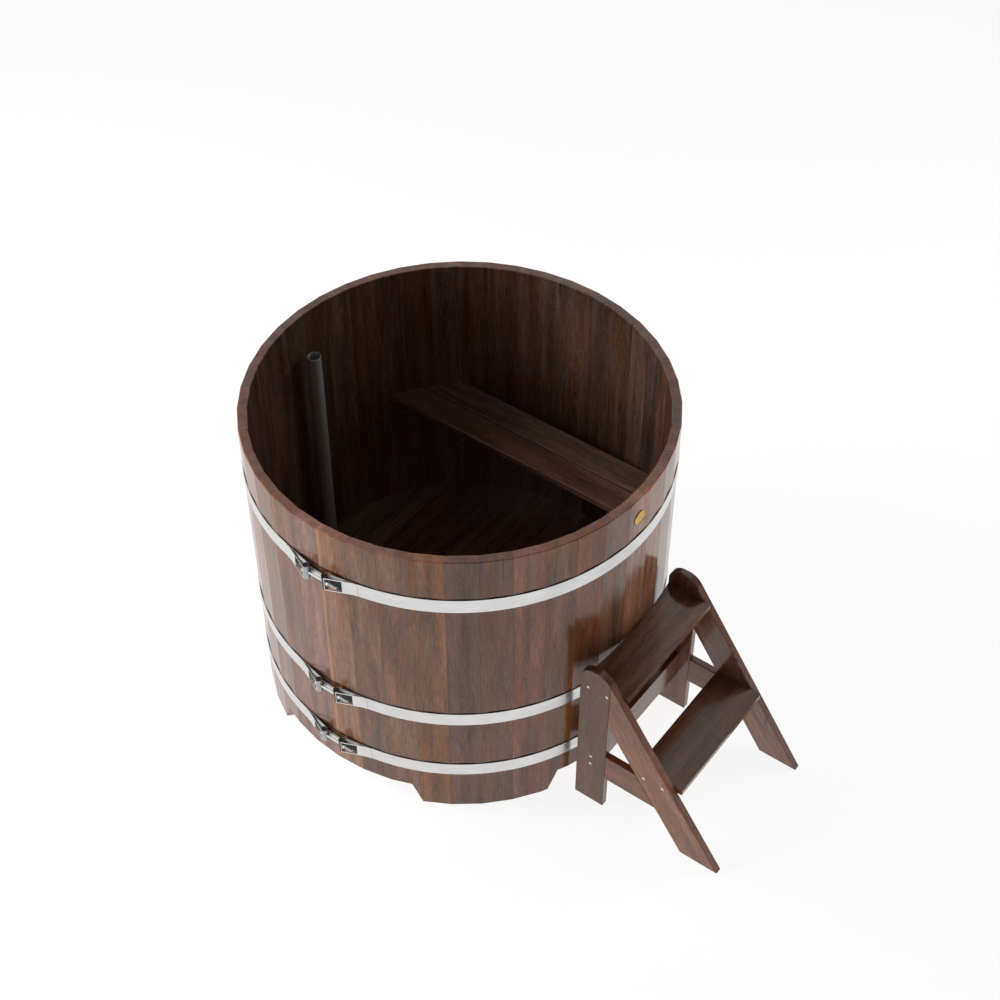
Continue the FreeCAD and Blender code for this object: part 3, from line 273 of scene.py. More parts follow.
PITCH_LIMITS = (0.66, 0.76)
RING_SHARES = (0.05, 0.32)       # least and most dark stain in a ring
CROWN_SHARE = 0.9
PITCH_SHARE = 0.8
FIBRE_TONES = (0.9, 1.1)
FLECK_TONES = (0.72, 1.28)
BAND_TONES = (0.6, 1.4)
BOARD_TONES = (0.78, 1.22)
BOARD_HUES = (0.492, 0.507)
BOARD_RICHNESS = (0.84, 1.1)
BAND_HUE = 0.03
BAND_RICHNESS = 0.7
WOOD_ROUGHNESS = (0.1, 0.17)
RING_DULLS = 0.05
FIBRE_HEIGHT = 0.35
RING_DEPTH = 0.5


def bent_place(tree, place, own):
    """A place in a board, moved as its fibres wander and ripple."""
    for kind, reach in ((WANDER, WANDER_REACH), (RIPPLE, RIPPLE_REACH)):
        drift = vector_sums(tree, "SUBTRACT", marks(tree, own, *kind)["Color"], (NOISE_MIDDLE,) * 3)
        place = vector_sums(tree, "ADD", place, vector_sums(tree, "MULTIPLY", drift, (reach, reach, 0)))
    return place


def late_wood(tree, bent, log):
    """Dark late wood of the growth rings, about a leaning pith behind the board."""
    x, y, z = split(tree, bent)
    lean = times(tree, z, between(tree, log[2], -PITH_LEAN, PITH_LEAN))
    from_x = sums(tree, "ADD", sums(tree, "SUBTRACT", x, between(tree, log[0], *PITH_BEHIND)), lean)
    from_y = sums(tree, "SUBTRACT", y, between(tree, log[1], -PITH_ASIDE, PITH_ASIDE))
    year = sums(tree, "FRACT", sums(tree, "DIVIDE", diagonal(tree, from_x, from_y), RING_WIDTH))
    return times(tree, spread(tree, year, *RING_DARKENS), fall(tree, year, *RING_ENDS))


def pointed_crowns(tree, bent, own, log, tone, patch):
    """Broken, pointed crowns one above another, which point up or down a board, on some boards."""
    y, z = split(tree, bent)[1:]
    middle = between(tree, log[1], -CROWN_ASIDE, CROWN_ASIDE)
    aside = sums(tree, "ABSOLUTE", sums(tree, "SUBTRACT", y, middle))
    along = times(tree, z, spread(tree, log[2], *CROWN_TURN, -1, 1))
    wave = marks(tree, own, *CROWN_WAVES)[0]
    breaks = marks(tree, own, *CROWN_BREAKS)[0]
    climb = sums(tree, "MULTIPLY_ADD", aside, CROWN_SLOPE, along)
    climb = sums(tree, "MULTIPLY_ADD", wave, CROWN_WAVE_HEIGHT, climb)
    step = sums(tree, "FRACT", sums(tree, "DIVIDE", climb, CROWN_PITCH))
    return times(
        tree,
        spread(tree, step, *CROWN_DARKENS),
        fall(tree, step, *CROWN_ENDS),
        fall(tree, aside, *CROWN_EDGE),
        spread(tree, patch, *CROWN_PATCHES),
        spread(tree, breaks, *CROWN_GAPS),
        under(tree, tone[1], CROWNED_BOARDS),
    )


def make_stained_grain():
    """Stained conifer board: growth rings, pointed crowns, pitch streaks, bands and its own tone."""
    tree, takes, gives = new_group(
        "stained_grain",
        [
            ("Place", "NodeSocketVector"), ("Board", "NodeSocketFloat"),
            ("Pale", "NodeSocketColor"), ("Dark", "NodeSocketColor"),
        ],
        [("Colour", "NodeSocketColor"), ("Roughness", "NodeSocketFloat"), ("Height", "NodeSocketFloat")],
    )
    log = chance(tree, takes["Board"], LOG_DRAW)
    tone = chance(tree, takes["Board"], TONE_DRAW)
    shift = times(tree, takes["Board"], BOARD_SHIFT)
    own = vector_sums(tree, "ADD", takes["Place"], join(tree, shift, shift, shift))
    bent = bent_place(tree, takes["Place"], own)
    fibre = marks(tree, own, *FIBRE)[0]
    flecks = marks(tree, own, *FLECKS)[0]
    bands = marks(tree, own, *BANDS)
    patch = marks(tree, own, *PATCHES)[0]
    pitch = marks(tree, own, *PITCH_STREAKS)[0]
    late = late_wood(tree, bent, log)
    crown = pointed_crowns(tree, bent, own, log, tone, patch)

    rings = times(tree, late, spread(tree, patch, *RING_PATCHES, *RING_SHARES))
    streaks = times(tree, spread(tree, pitch, *PITCH_LIMITS), PITCH_SHARE)
    figure = sums(tree, "MAXIMUM", rings, times(tree, crown, CROWN_SHARE))
    figure = sums(tree, "MAXIMUM", figure, streaks)
    bright = times(
        tree,
        scaled(tree, fibre, *FIBRE_SPAN, *FIBRE_TONES),
        scaled(tree, flecks, *NOISE_SPAN, *FLECK_TONES),
        scaled(tree, bands[0], *NOISE_SPAN, *BAND_TONES),
        between(tree, tone[2], *BOARD_TONES),
    )
    hue_draw, rich_draw = split(tree, bands["Color"])[1:]
    warm = times(tree, sums(tree, "SUBTRACT", hue_draw, NOISE_MIDDLE), BAND_HUE)
    rich = times(tree, sums(tree, "SUBTRACT", rich_draw, NOISE_MIDDLE), BAND_RICHNESS)
    stain = tree.nodes.new("ShaderNodeHueSaturation")
    feed(tree, blend(tree, figure, takes["Pale"], takes["Dark"]), stain.inputs["Color"])
    feed(tree, sums(tree, "ADD", warm, between(tree, tone[0], *BOARD_HUES)), stain.inputs["Hue"])
    feed(tree, sums(tree, "ADD", rich, between(tree, tone[1], *BOARD_RICHNESS)), stain.inputs["Saturation"])
    feed(tree, bright, stain.inputs["Value"])
    feed(tree, stain.outputs[0], gives["Colour"])

    roughness = scaled(tree, patch, *PATCH_SPAN, *WOOD_ROUGHNESS)
    feed(tree, sums(tree, "MULTIPLY_ADD", late, RING_DULLS, roughness), gives["Roughness"])
    relief = sums(tree, "SUBTRACT", times(tree, fibre, FIBRE_HEIGHT), times(tree, late, RING_DEPTH))
    feed(tree, relief, gives["Height"])
    return tree


# Brush marks on steel, in a place whose X runs along the marks

BRUSH_LINES = ((9, 900, 900), 3.0)
BRUSH_SMEARS = ((14, 22, 22), 3.0)
SMEAR_SPAN = (0.35, 0.7)
LINE_SHARE = 0.6
SMEAR_SHARE = 0.4
STEEL_ROUGHNESS = (0.2, 0.38)


def make_brushed_lines():
    """Fine brush marks along the first axis of a place, with faint smears over them."""
    tree, takes, gives = new_group(
        "brushed_lines",
        [("Place", "NodeSocketVector"), ("Bright", "NodeSocketColor"), ("Dull", "NodeSocketColor")],
        [("Colour", "NodeSocketColor"), ("Roughness", "NodeSocketFloat"), ("Height", "NodeSocketFloat")],
    )
    lines = marks(tree, takes["Place"], *BRUSH_LINES)[0]
    smear = marks(tree, takes["Place"], *BRUSH_SMEARS)[0]
    smeared = times(tree, spread(tree, smear, *SMEAR_SPAN), SMEAR_SHARE)
    share = sums(tree, "MULTIPLY_ADD", spread(tree, lines, *NOISE_SPAN), LINE_SHARE, smeared)
    feed(tree, blend(tree, share, takes["Bright"], takes["Dull"]), gives["Colour"])
    feed(tree, between(tree, share, *STEEL_ROUGHNESS), gives["Roughness"])
    feed(tree, lines, gives["Height"])
    return tree


STAVE_PLACE = make_stave_place()
STAINED_GRAIN = make_stained_grain()
BRUSHED_LINES = make_brushed_lines()


# What every finish starts with

def new_finish(name):
    """A material with its shader, and the position on the piece."""
    material = bpy.data.materials.new(name)
    material.use_nodes = True
    tree = material.node_tree
    shader = tree.nodes["Principled BSDF"]
    position = tree.nodes.new("ShaderNodeTexCoord").outputs["Object"]
    return material, tree, shader, position


def bump(tree, shader, height, strength, distance):
    """Relief on the shader's normal."""
    node = tree.nodes.new("ShaderNodeBump")
    node.inputs["Strength"].default_value = strength
    node.inputs["Distance"].default_value = distance
    feed(tree, height, node.inputs["Height"])
    feed(tree, node.outputs[0], shader.inputs["Normal"])


def middle_of(node):
    """Middle of a piece's box."""
    low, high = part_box(node)
    return (Vector(low) + Vector(high)) / 2


def grey(level):
    """A plain grey."""
    return (level, level, level, 1)


def toned(colour, share):
    """A colour made paler or darker."""
    return tuple(part * share for part in colour[:3]) + (1,)


# Wood

PALE_STAIN = (0.172, 0.071, 0.036, 1)
DARK_STAIN = (0.07, 0.026, 0.013, 1)
INNER_PALE = (0.15, 0.078, 0.052, 1)
INNER_DARK = (0.055, 0.026, 0.017, 1)
BARE_PALE = (0.5, 0.33, 0.18, 1)
BARE_DARK = (0.3, 0.17, 0.08, 1)
VARNISH_IOR = 1.5
VARNISH_GLOSS = 0.5
INNER_GLOSS = 0.3
BARE_GLOSS = 0.4
GRAIN_RELIEF = (0.1, 0.0004)     # strength and height

LADDER_STAVES = (9.5, 12.5)      # numbers of the paler staves behind the ladder lie between these
CLAMP_STAVES = (0.05, 0.13)      # from a clamp's middle, where paler staves fade out
CLAMP_STAVES_SHARE = 0.75
PALER_TONE = 1.5
PALER_DARK_TONE = 1.3
FLOOR_TONE = 1.35
FLOOR_FIRST_NUMBER = 101

SAPWOOD = (0.44, 0.2, 0.1, 1)
SAPWOOD_SHARE = 0.8
SAPWOOD_RAGS = ((30, 160, 4), 2.0)
SAPWOOD_RAG_WIDTH = 0.024
SAPWOOD_EDGE = (-0.036, -0.026)  # across the stave
SAPWOOD_STAVE = 0.5              # only the first stave's number is under this

# Painted sheen on the rim: paler on its outer bevel and on the side between the clamps and the ladder
RIM_SHEEN_TINT = (1.95, 1.57, 1.77, 1)
RIM_SHEEN_SIDE = (-0.8, -0.6)         # way from the tub's axis to between the clamps and the ladder
RIM_SHEEN_STRETCH = (0.15, 0.6)       # that way from the axis, where the rim gets paler
RIM_SHEEN_SHARE = 0.6
RIM_SHEEN_EDGE = (0.013, 0.015)       # through the stave, at the rim's outer bevel
RIM_SHEEN_BELOW_TOP = (0.0035, 0.001)

# Painted shade on the outside of the staves: a dark line over each hoop, and a dark patch under it behind
# the clamps
HOOP_SHADE_COLOUR = (0.012, 0.005, 0.003, 1)
HOOP_SHADE_SHARE = 0.85
HOOP_SHADE_ABOVE = (0.003, 0.008)      # over a hoop's top edge
HOOP_SHADE_BELOW = (0.014, 0.022)      # under its bottom edge, behind a clamp
HOOP_SHADE_BEHIND = -0.005             # how far the painted shade runs on behind the hoop
CLAMP_STARTS = (0.02, 0.035)     # from a clamp's middle to its folded strap ends
CLAMP_ENDS = (0.1, 0.125)


def finish_wood(tree, shader, place, board, pale, dark):
    """Stained grain under glossy varnish."""
    grain = use_group(tree, STAINED_GRAIN, Place=place, Board=board, Pale=pale, Dark=dark)
    feed(tree, grain["Colour"], shader.inputs["Base Color"])
    feed(tree, grain["Roughness"], shader.inputs["Roughness"])
    shader.inputs["IOR"].default_value = VARNISH_IOR
    bump(tree, shader, grain["Height"], *GRAIN_RELIEF)
    return grain["Colour"]


def sapwood_edge(tree, colour, place, board):
    """Pale, ragged sapwood along one edge of the first stave."""
    across = split(tree, place)[1]
    ragged = marks(tree, place, *SAPWOOD_RAGS)[0]
    edge = sums(tree, "MULTIPLY_ADD", ragged, SAPWOOD_RAG_WIDTH, across)
    share = times(tree, fall(tree, edge, *SAPWOOD_EDGE), under(tree, board, SAPWOOD_STAVE), SAPWOOD_SHARE)
    return blend(tree, share, colour, SAPWOOD)


def painted_rim_sheen(tree, colour, x, y, height, depth):
    """Painted sheen: the rim made paler on its outer bevel, and over the rim between clamps and ladder."""
    rim = spread(tree, height, *(RIM_TOP - drop for drop in RIM_SHEEN_BELOW_TOP))
    towards = sums(tree, "ADD", times(tree, x, RIM_SHEEN_SIDE[0]), times(tree, y, RIM_SHEEN_SIDE[1]))
    across = spread(tree, towards, *RIM_SHEEN_STRETCH, 0.0, RIM_SHEEN_SHARE)
    edge = spread(tree, depth, *RIM_SHEEN_EDGE)
    share = times(tree, rim, sums(tree, "MAXIMUM", across, edge))
    return blend(tree, share, colour, RIM_SHEEN_TINT, "MULTIPLY")


def painted_hoop_shade(tree, colour, x, y, height, depth):
    """Painted shade on the wood outside: a dark line over each hoop's top edge, and a dark patch under the
    hoop behind its clamp.
    """
    aside = sums(tree, "ABSOLUTE", y)
    on_clamp = times(tree, fall(tree, aside, *CLAMP_ENDS), spread(tree, aside, *CLAMP_STARTS))
    by_clamp = times(tree, under(tree, x, 0), on_clamp)
    outside = over(tree, depth, STAVE_OUTSIDE)
    for hoop in HOOPS:
        low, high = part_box("hoop_" + hoop)
        above = sums(tree, "SUBTRACT", height, high[2])
        below = sums(tree, "SUBTRACT", low[2], height)
        shade_above = times(tree, fall(tree, above, *HOOP_SHADE_ABOVE), over(tree, above, HOOP_SHADE_BEHIND))
        behind = times(tree, fall(tree, below, *HOOP_SHADE_BELOW), by_clamp, over(tree, below, HOOP_SHADE_BEHIND))
        share = times(tree, sums(tree, "MAXIMUM", shade_above, behind), outside, HOOP_SHADE_SHARE)
        colour = blend(tree, share, colour, HOOP_SHADE_COLOUR)
    return colour


def wall_finish():
    """Staves, paler behind the ladder and by the clamps, with a greyer stain inside."""
    material, tree, shader, position = new_finish("wall_wood")
    stave = use_group(tree, STAVE_PLACE, Position=position)
    place = stave["Place"]
    board = stave["Board"]
    x, y, height = from_axis(tree, position)
    depth = split(tree, place)[0]
    by_ladder = times(tree, over(tree, board, LADDER_STAVES[0]), under(tree, board, LADDER_STAVES[1]))
    by_clamps = spread(tree, sums(tree, "ABSOLUTE", y), *CLAMP_STAVES, CLAMP_STAVES_SHARE, 0.0)
    paler = sums(tree, "MAXIMUM", by_ladder, times(tree, by_clamps, under(tree, x, 0)))
    inside = under(tree, depth, STAVE_INSIDE)
    pale = blend(tree, paler, PALE_STAIN, toned(PALE_STAIN, PALER_TONE))
    dark = blend(tree, paler, DARK_STAIN, toned(DARK_STAIN, PALER_DARK_TONE))
    pale = blend(tree, inside, pale, INNER_PALE)
    dark = blend(tree, inside, dark, INNER_DARK)
    colour = finish_wood(tree, shader, place, board, pale, dark)
    colour = sapwood_edge(tree, colour, place, board)
    # painted sheen on the rim
    colour = painted_rim_sheen(tree, colour, x, y, height, depth)
    # painted shade over the hoops and behind the clamps
    colour = painted_hoop_shade(tree, colour, x, y, height, depth)
    feed(tree, colour, shader.inputs["Base Color"])
    return material


def floor_finish():
    """Floor boards along X, each with its own figure."""
    material, tree, shader, position = new_finish("floor_wood")
    x, y, z = split(tree, position)
    pitch = 2 * FLOOR_RADIUS / FLOOR_BOARDS
    row = sums(tree, "DIVIDE", sums(tree, "SUBTRACT", y, TUB_AXIS[1] - FLOOR_RADIUS), pitch)
    board = sums(tree, "FLOOR", row)
    across = times(tree, sums(tree, "SUBTRACT", sums(tree, "SUBTRACT", row, board), 0.5), pitch)
    place = join(tree, sums(tree, "SUBTRACT", z, FLOOR_MIDDLE), across, x)
    number = sums(tree, "ADD", board, FLOOR_FIRST_NUMBER)
    finish_wood(tree, shader, place, number, toned(INNER_PALE, FLOOR_TONE), toned(INNER_DARK, FLOOR_TONE))
    return material


def board_finish(node, turn, number, gloss, pale, dark):
    """Wood for one straight board, turned so that its grain runs along it."""
    material, tree, shader, position = new_finish(node + "_wood")
    mapping = tree.nodes.new("ShaderNodeMapping")
    mapping.inputs["Rotation"].default_value = turn
    mapping.inputs["Location"].default_value = -(Euler(turn).to_matrix() @ middle_of(node))
    feed(tree, position, mapping.inputs["Vector"])
    finish_wood(tree, shader, mapping.outputs[0], number, pale, dark)
    shader.inputs["Specular IOR Level"].default_value = gloss
    return material


# Steel

HOOP_BRIGHT = (0.78, 0.77, 0.765, 1)
HOOP_DULL = (0.66, 0.655, 0.65, 1)
CLAMP_BRIGHT = grey(0.8)
CLAMP_DULL = (0.62, 0.62, 0.63, 1)
BAR_BRIGHT = (0.12, 0.12, 0.122, 1)
BAR_DULL = (0.07, 0.07, 0.072, 1)
SCREW_BRIGHT = (0.82, 0.82, 0.81, 1)
SCREW_DULL = grey(0.62)
BRUSH_RELIEF = (0.06, 0.0002)    # strength and height

# Painted shade on the back of the hoops, which faces the staves
HOOP_BACK_SHADE = (0.1, 0.098, 0.096, 1)
# Painted shade, near black, inside the folded strap ends
FOLD_INSIDE_SHADE = grey(0.03)
# Painted light: a dull lit grey on the strap's upper strip inside the folds
LIT_LIP_GREY = (0.5, 0.5, 0.51, 1)
# Painted shade on the folds: lighter on the far side, near black on the near side
FAR_FOLD_SHADE = grey(0.42)
NEAR_FOLD_SHADE = grey(0.07)
BACK_FACING = (-0.2, -0.05)      # outward part of a normal, times the radius, on a hoop's back
STRAP_SURFACE = (0.0003, 0.0009)  # past the hoop's radius, where the inside of a fold ends
LIP_SPARE = 0.001
LIP_DULLS = 0.85                 # share of the metal's sheen that the lip lacks


def hoop_colours(tree, colour, x, y, height):
    """Hoop steel with painted shade on its back, in its folded ends and on the near folds, a paler painted
    grey on the far folds and on the strap's upper strip inside the folds, and how metallic it is.
    """
    face_x, face_y = split(tree, tree.nodes.new("ShaderNodeTexCoord").outputs["Normal"])[:2]
    outward = sums(tree, "ADD", times(tree, face_x, x), times(tree, face_y, y))
    # painted shade on the hoop's back
    back = fall(tree, outward, *BACK_FACING)
    aside = sums(tree, "ABSOLUTE", y)
    sideways = times(tree, aside, math.sin(STRAP_LEAVE))
    out = sums(tree, "SUBTRACT", sideways, times(tree, x, math.cos(STRAP_LEAVE)))
    # painted shade inside the folded strap ends
    inside = times(
        tree,
        fall(tree, out, *(HOOP_RADIUS + past for past in STRAP_SURFACE)),
        under(tree, aside, WELD_SIDE),
        over(tree, aside, FOLD_SIDE),
        under(tree, x, 0),
    )
    # painted light on the strap's upper strip inside the folds
    lip = 0.0
    for hoop in HOOPS:
        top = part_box("hoop_" + hoop)[1][2]
        near_top = times(tree, over(tree, height, top - LIP_HEIGHT), under(tree, height, top + LIP_SPARE))
        lip = sums(tree, "ADD", near_top, lip)
    lip = times(tree, lip, inside)
    # painted shade on the folds, darker on the near side
    fold = times(tree, under(tree, aside, FOLD_SIDE + FOLD_WIDTH), under(tree, x, -CLAMP_INNER))
    fold_painted_shade = blend(tree, under(tree, y, 0), FAR_FOLD_SHADE, NEAR_FOLD_SHADE)
    for share, tint in ((back, HOOP_BACK_SHADE), (inside, FOLD_INSIDE_SHADE), (lip, LIT_LIP_GREY), (fold, fold_painted_shade)):
        colour = blend(tree, share, colour, tint)
    return colour, sums(tree, "SUBTRACT", 1.0, times(tree, lip, LIP_DULLS))


def finish_steel(tree, shader, place, bright, dull):
    """Brushed steel, with its marks along the first axis of a place."""
    lines = use_group(tree, BRUSHED_LINES, Place=place, Bright=bright, Dull=dull)
    feed(tree, lines["Colour"], shader.inputs["Base Color"])
    feed(tree, lines["Roughness"], shader.inputs["Roughness"])
    shader.inputs["Metallic"].default_value = 1.0
    bump(tree, shader, lines["Height"], *BRUSH_RELIEF)
    return lines["Colour"]


def hoop_finish():
    """Hoop steel, brushed round the tub."""
    material, tree, shader, position = new_finish("hoop_steel")
    x, y, height = from_axis(tree, position)
    along = times(tree, sums(tree, "ARCTAN2", y, x), HOOP_RADIUS)
    place = join(tree, along, diagonal(tree, x, y), height)
    colour = finish_steel(tree, shader, place, HOOP_BRIGHT, HOOP_DULL)
    colour, metallic = hoop_colours(tree, colour, x, y, height)
    feed(tree, colour, shader.inputs["Base Color"])
    feed(tree, metallic, shader.inputs["Metallic"])
    return material


def steel_finish(name, bright, dull):
    """Steel of a small piece, brushed along Y."""
    material, tree, shader, position = new_finish(name)
    x, y, z = split(tree, position)
    finish_steel(tree, shader, join(tree, y, x, z), bright, dull)
    return material


# Plastic, rubber and brass

MOTTLE = (60.0, 4.0)             # scale and detail
MOULD_GRAIN = (900.0, 2.0)
MOULD_RELIEF = (0.08, 0.0003)
PIPE_PALE = (0.38, 0.377, 0.37, 1)
PIPE_DARK = (0.35, 0.347, 0.342, 1)
PIPE_ROUGHNESS = (0.32, 0.46)
DRAIN_PALE = grey(0.05)
DRAIN_DARK = grey(0.03)
DRAIN_ROUGHNESS = (0.35, 0.5)
RUBBER_PALE = grey(0.018)
RUBBER_DARK = grey(0.01)
RUBBER_ROUGHNESS = (0.6, 0.8)

BRASS_BRIGHT = (0.62, 0.39, 0.09, 1)
BRASS_DULL = (0.41, 0.24, 0.053, 1)
BRASS_ROUGHNESS = (0.2, 0.36)
BRASS_TARNISH = (90.0, 3.0)
TARNISH_SPAN = (0.4, 0.75)
TARNISH_DULLS = (0.3, 0.8)
BRASS_RINGS = ((2600, 0, 0), 2.0)  # marks per metre from the disc's middle, and detail
BRASS_RELIEF = (0.1, 0.0002)


def plastic_finish(name, pale, dark, roughness):
    """Moulded plastic or rubber with a faint mottle."""
    material, tree, shader, position = new_finish(name)
    mottle = noise(tree, position, *MOTTLE)[0]
    feed(tree, blend(tree, spread(tree, mottle, *NOISE_SPAN), pale, dark), shader.inputs["Base Color"])
    feed(tree, spread(tree, mottle, *NOISE_SPAN, *roughness), shader.inputs["Roughness"])
    bump(tree, shader, noise(tree, position, *MOULD_GRAIN)[0], *MOULD_RELIEF)
    return material


def brass_finish():
    """Polished brass, brushed in rings about the disc's middle."""
    material, tree, shader, position = new_finish("badge_brass")
    from_middle = split(tree, vector_sums(tree, "SUBTRACT", position, tuple(middle_of("badge_disc"))))
    reach = diagonal(tree, from_middle[0], from_middle[2])
    rings = marks(tree, join(tree, reach, 0, 0), *BRASS_RINGS)[0]
    tarnish = noise(tree, position, *BRASS_TARNISH)[0]
    colour = blend(tree, spread(tree, tarnish, *TARNISH_SPAN), BRASS_BRIGHT, BRASS_DULL)
    feed(tree, colour, shader.inputs["Base Color"])
    feed(tree, spread(tree, tarnish, *TARNISH_DULLS, *BRASS_ROUGHNESS), shader.inputs["Roughness"])
    shader.inputs["Metallic"].default_value = 1.0
    bump(tree, shader, rings, *BRASS_RELIEF)
    return material


# Finishes on the pieces

ALONG_X_FLAT = (0, -RIGHT_ANGLE, 0)
ALONG_X_ON_EDGE = (-RIGHT_ANGLE, -RIGHT_ANGLE, 0)
ALONG_Y_FLAT = (RIGHT_ANGLE, 0, RIGHT_ANGLE)
ALONG_Y_ON_EDGE = (RIGHT_ANGLE, 0, 0)
UPRIGHT = (0, 0, 0)
LEANING = (LEG_LEAN, 0, 0)

# Each board's turn, its number, which sets its figure, and its tone. On the ladder the tone also holds
# painted light and shade: the legs paler where the lamp falls on them, the left post darker in the tub's
# shade.
INNER_BOARDS = {
    "floor_battens": (ALONG_Y_FLAT, 131, 1.0),
    "bench_plank_front": (ALONG_Y_FLAT, 142, 1.1),
    "bench_plank_back": (ALONG_Y_FLAT, 147, 1.1),
    "bench_ledger_near": (ALONG_X_ON_EDGE, 151, 1.0),
    "bench_ledger_far": (ALONG_X_ON_EDGE, 153, 1.0),
    "bench_tie": (ALONG_X_FLAT, 156, 1.0),
}
LADDER_BOARDS = {
    # painted shade: the left post's tone lowered for the tub's shade
    "ladder_post_left": (UPRIGHT, 163, 0.75),
    "ladder_post_right": (UPRIGHT, 165, 1.0),
    # painted light: the legs' tones raised where the lamp falls on them
    "ladder_leg_left": (LEANING, 170, 1.7),
    "ladder_leg_right": (LEANING, 174, 1.45),
    "ladder_brace_left": (ALONG_Y_ON_EDGE, 178, 1.0),
    "ladder_brace_right": (ALONG_Y_ON_EDGE, 182, 1.0),
    "ladder_tread_upper": (ALONG_X_FLAT, 187, 0.9),
    "ladder_tread_lower": (ALONG_X_FLAT, 191, 1.0),
    "ladder_rear_rail": (ALONG_X_ON_EDGE, 196, 1.0),
}
DOWEL_NUMBER = 199


def dress(material, *names):
    """Give pieces a finish."""
    for name in names:
        slots = nodes[name].data.materials
        slots.clear()
        slots.append(material)


def dress_boards(boards, gloss, pale, dark):
    """Give each straight board its own wood."""
    for name, (turn, number, tone) in boards.items():
        dress(board_finish(name, turn, number, gloss, toned(pale, tone), toned(dark, tone)), name)


dress(wall_finish(), *[name for name in nodes if name.startswith(("foot_staves", "wall_staves"))])
dress(floor_finish(), "floor_boards", "floor_board_drain")
dress_boards(INNER_BOARDS, INNER_GLOSS, INNER_PALE, INNER_DARK)
dress_boards(LADDER_BOARDS, VARNISH_GLOSS, PALE_STAIN, DARK_STAIN)
dowel_wood = board_finish("ladder_dowels", UPRIGHT, DOWEL_NUMBER, BARE_GLOSS, BARE_PALE, BARE_DARK)
dress(dowel_wood, "ladder_dowels")

hoop_steel = hoop_finish()
clamp_steel = steel_finish("clamp_steel", CLAMP_BRIGHT, CLAMP_DULL)
bar_steel = steel_finish("bar_steel", BAR_BRIGHT, BAR_DULL)
for hoop in HOOPS:
    dress(hoop_steel, "hoop_" + hoop)
    dress(bar_steel, "clamp_trunnions_" + hoop)
    dress(clamp_steel, "clamp_bolt_" + hoop, "clamp_washer_" + hoop, "clamp_nut_" + hoop)
screw_steel = steel_finish("screw_steel", SCREW_BRIGHT, SCREW_DULL)
dress(screw_steel, "floor_screws", "bench_screws", "ladder_screws")

dress(plastic_finish("pipe_plastic", PIPE_PALE, PIPE_DARK, PIPE_ROUGHNESS), "standpipe")
drain_plastic = plastic_finish("drain_plastic", DRAIN_PALE, DRAIN_DARK, DRAIN_ROUGHNESS)
dress(drain_plastic, "drain_seat", "drain_lock_nut", "drain_outlet")
seal_rubber = plastic_finish("seal_rubber", RUBBER_PALE, RUBBER_DARK, RUBBER_ROUGHNESS)
dress(seal_rubber, "drain_seal", "drain_gasket")
dress(brass_finish(), "badge_disc")


# Floor, light and camera

FLOOR_WIDTH = 400
FLOOR_GLOW = 0.94                # what lights the object from below
SHOWN_GLOW_LESS = 0.06           # and how much less of it is seen
MIRRORED_GLOW_LESS = 0.08
FLOOR_SHADE = 0.8                # what takes the lamps' light, and so the shadow
SHOWN_SHADE_LESS = 0.5
MIRRORED_SHADE_LESS = 0.64

BACKDROP_FADE = (-0.55, 0.1)     # Y of a direction, from before the ladder to behind the tub
BACKDROP_LEVELS = (0.15, 1.0)
SKY_LEVEL = 0.1

LAMP_AIM = (0.01, 0.29, 0.6)
LAMP_SIZE = 2.6
CLAMP_SIDE_PLACE = (-2.64, 4.08, 2.96)
CLAMP_SIDE_POWER = 174
BENCH_SIDE_PLACE = (3.5, -2.15, 3.58)
BENCH_SIDE_POWER = 52

CAMERA_PLACE = (-3.514, -2.4819, 5.3853)
CAMERA_TILT = math.radians(44.347)
CAMERA_TURN = math.radians(-53.579)
CAMERA_LENS = 64.785             # millimetres
CAMERA_SENSOR = 36.0


def is_mirrored(tree, rays):
    """1 on rays that a surface mirrors or lets through."""
    return sums(tree, "MAXIMUM", rays["Is Glossy Ray"], rays["Is Transmission Ray"])


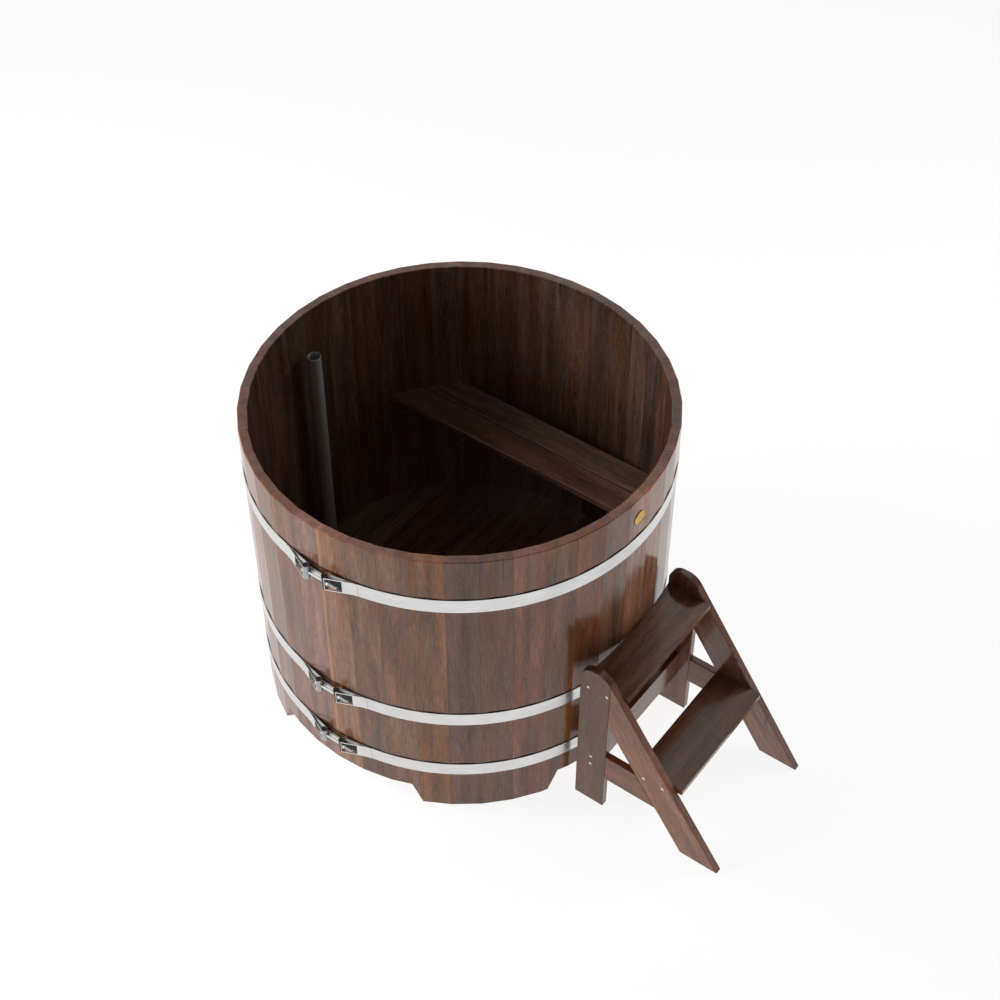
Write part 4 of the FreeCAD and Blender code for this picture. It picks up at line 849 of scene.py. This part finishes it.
def make_floor():
    """Wide white floor that lights the object from below, looks white and keeps its soft shadow."""
    bpy.ops.object.select_all(action="DESELECT")
    bpy.ops.mesh.primitive_plane_add(size=FLOOR_WIDTH, location=(0, 0, 0))
    floor = bpy.context.active_object
    floor.name = "studio_floor"
    material = bpy.data.materials.new("studio_floor")
    material.use_nodes = True
    tree = material.node_tree
    tree.nodes.remove(tree.nodes["Principled BSDF"])
    rays = tree.nodes.new("ShaderNodeLightPath").outputs
    shown = rays["Is Camera Ray"]
    mirrored = is_mirrored(tree, rays)

    def lessened(level, shown_less, mirrored_less):
        """A level that is lower where the floor is seen or mirrored."""
        less = sums(tree, "ADD", times(tree, shown, shown_less), times(tree, mirrored, mirrored_less))
        return sums(tree, "SUBTRACT", level, less)

    shade = lessened(FLOOR_SHADE, SHOWN_SHADE_LESS, MIRRORED_SHADE_LESS)
    shaded = tree.nodes.new("ShaderNodeBsdfDiffuse")
    feed(tree, join(tree, shade, shade, shade), shaded.inputs["Color"])
    glowing = tree.nodes.new("ShaderNodeEmission")
    feed(tree, lessened(FLOOR_GLOW, SHOWN_GLOW_LESS, MIRRORED_GLOW_LESS), glowing.inputs["Strength"])
    both = tree.nodes.new("ShaderNodeAddShader")
    tree.links.new(shaded.outputs[0], both.inputs[0])
    tree.links.new(glowing.outputs[0], both.inputs[1])
    tree.links.new(both.outputs[0], tree.nodes["Material Output"].inputs["Surface"])
    floor.data.materials.append(material)


def make_surroundings():
    """White backdrop, mirrored white behind the tub and dim before the ladder, and a faint sky."""
    world = bpy.data.worlds.new("studio")
    scene.world = world
    world.use_nodes = True
    tree = world.node_tree
    background = tree.nodes["Background"]
    background.inputs["Color"].default_value = (1, 1, 1, 1)
    rays = tree.nodes.new("ShaderNodeLightPath").outputs
    shown = rays["Is Camera Ray"]
    mirrored = is_mirrored(tree, rays)
    direction = tree.nodes.new("ShaderNodeTexCoord").outputs["Generated"]
    backdrop = spread(tree, split(tree, direction)[1], *BACKDROP_FADE, *BACKDROP_LEVELS)
    plain = sums(tree, "SUBTRACT", 1.0, sums(tree, "MAXIMUM", mirrored, shown))
    strength = sums(tree, "MULTIPLY_ADD", mirrored, backdrop, shown)
    feed(tree, sums(tree, "MULTIPLY_ADD", plain, SKY_LEVEL, strength), background.inputs["Strength"])


def make_lamp(name, place, power):
    """Soft square lamp, which doesn't mirror in the varnish."""
    data = bpy.data.lights.new(name, "AREA")
    data.shape = "SQUARE"
    data.size = LAMP_SIZE
    data.energy = power
    lamp = bpy.data.objects.new(name, data)
    lamp.location = place
    lamp.rotation_euler = (Vector(LAMP_AIM) - Vector(place)).to_track_quat("-Z", "Y").to_euler()
    lamp.visible_glossy = False
    scene.collection.objects.link(lamp)


def make_camera():
    """Camera above the clamps and the ladder's side, looking down into the tub."""
    data = bpy.data.cameras.new("camera")
    data.lens = CAMERA_LENS
    data.sensor_width = CAMERA_SENSOR
    camera = bpy.data.objects.new("camera", data)
    camera.location = CAMERA_PLACE
    camera.rotation_euler = (CAMERA_TILT, 0, CAMERA_TURN)
    scene.collection.objects.link(camera)
    scene.camera = camera


make_floor()
make_surroundings()
make_lamp("clamp_side_lamp", CLAMP_SIDE_PLACE, CLAMP_SIDE_POWER)
make_lamp("bench_side_lamp", BENCH_SIDE_PLACE, BENCH_SIDE_POWER)
make_camera()

scene.view_settings.view_transform = "Standard"
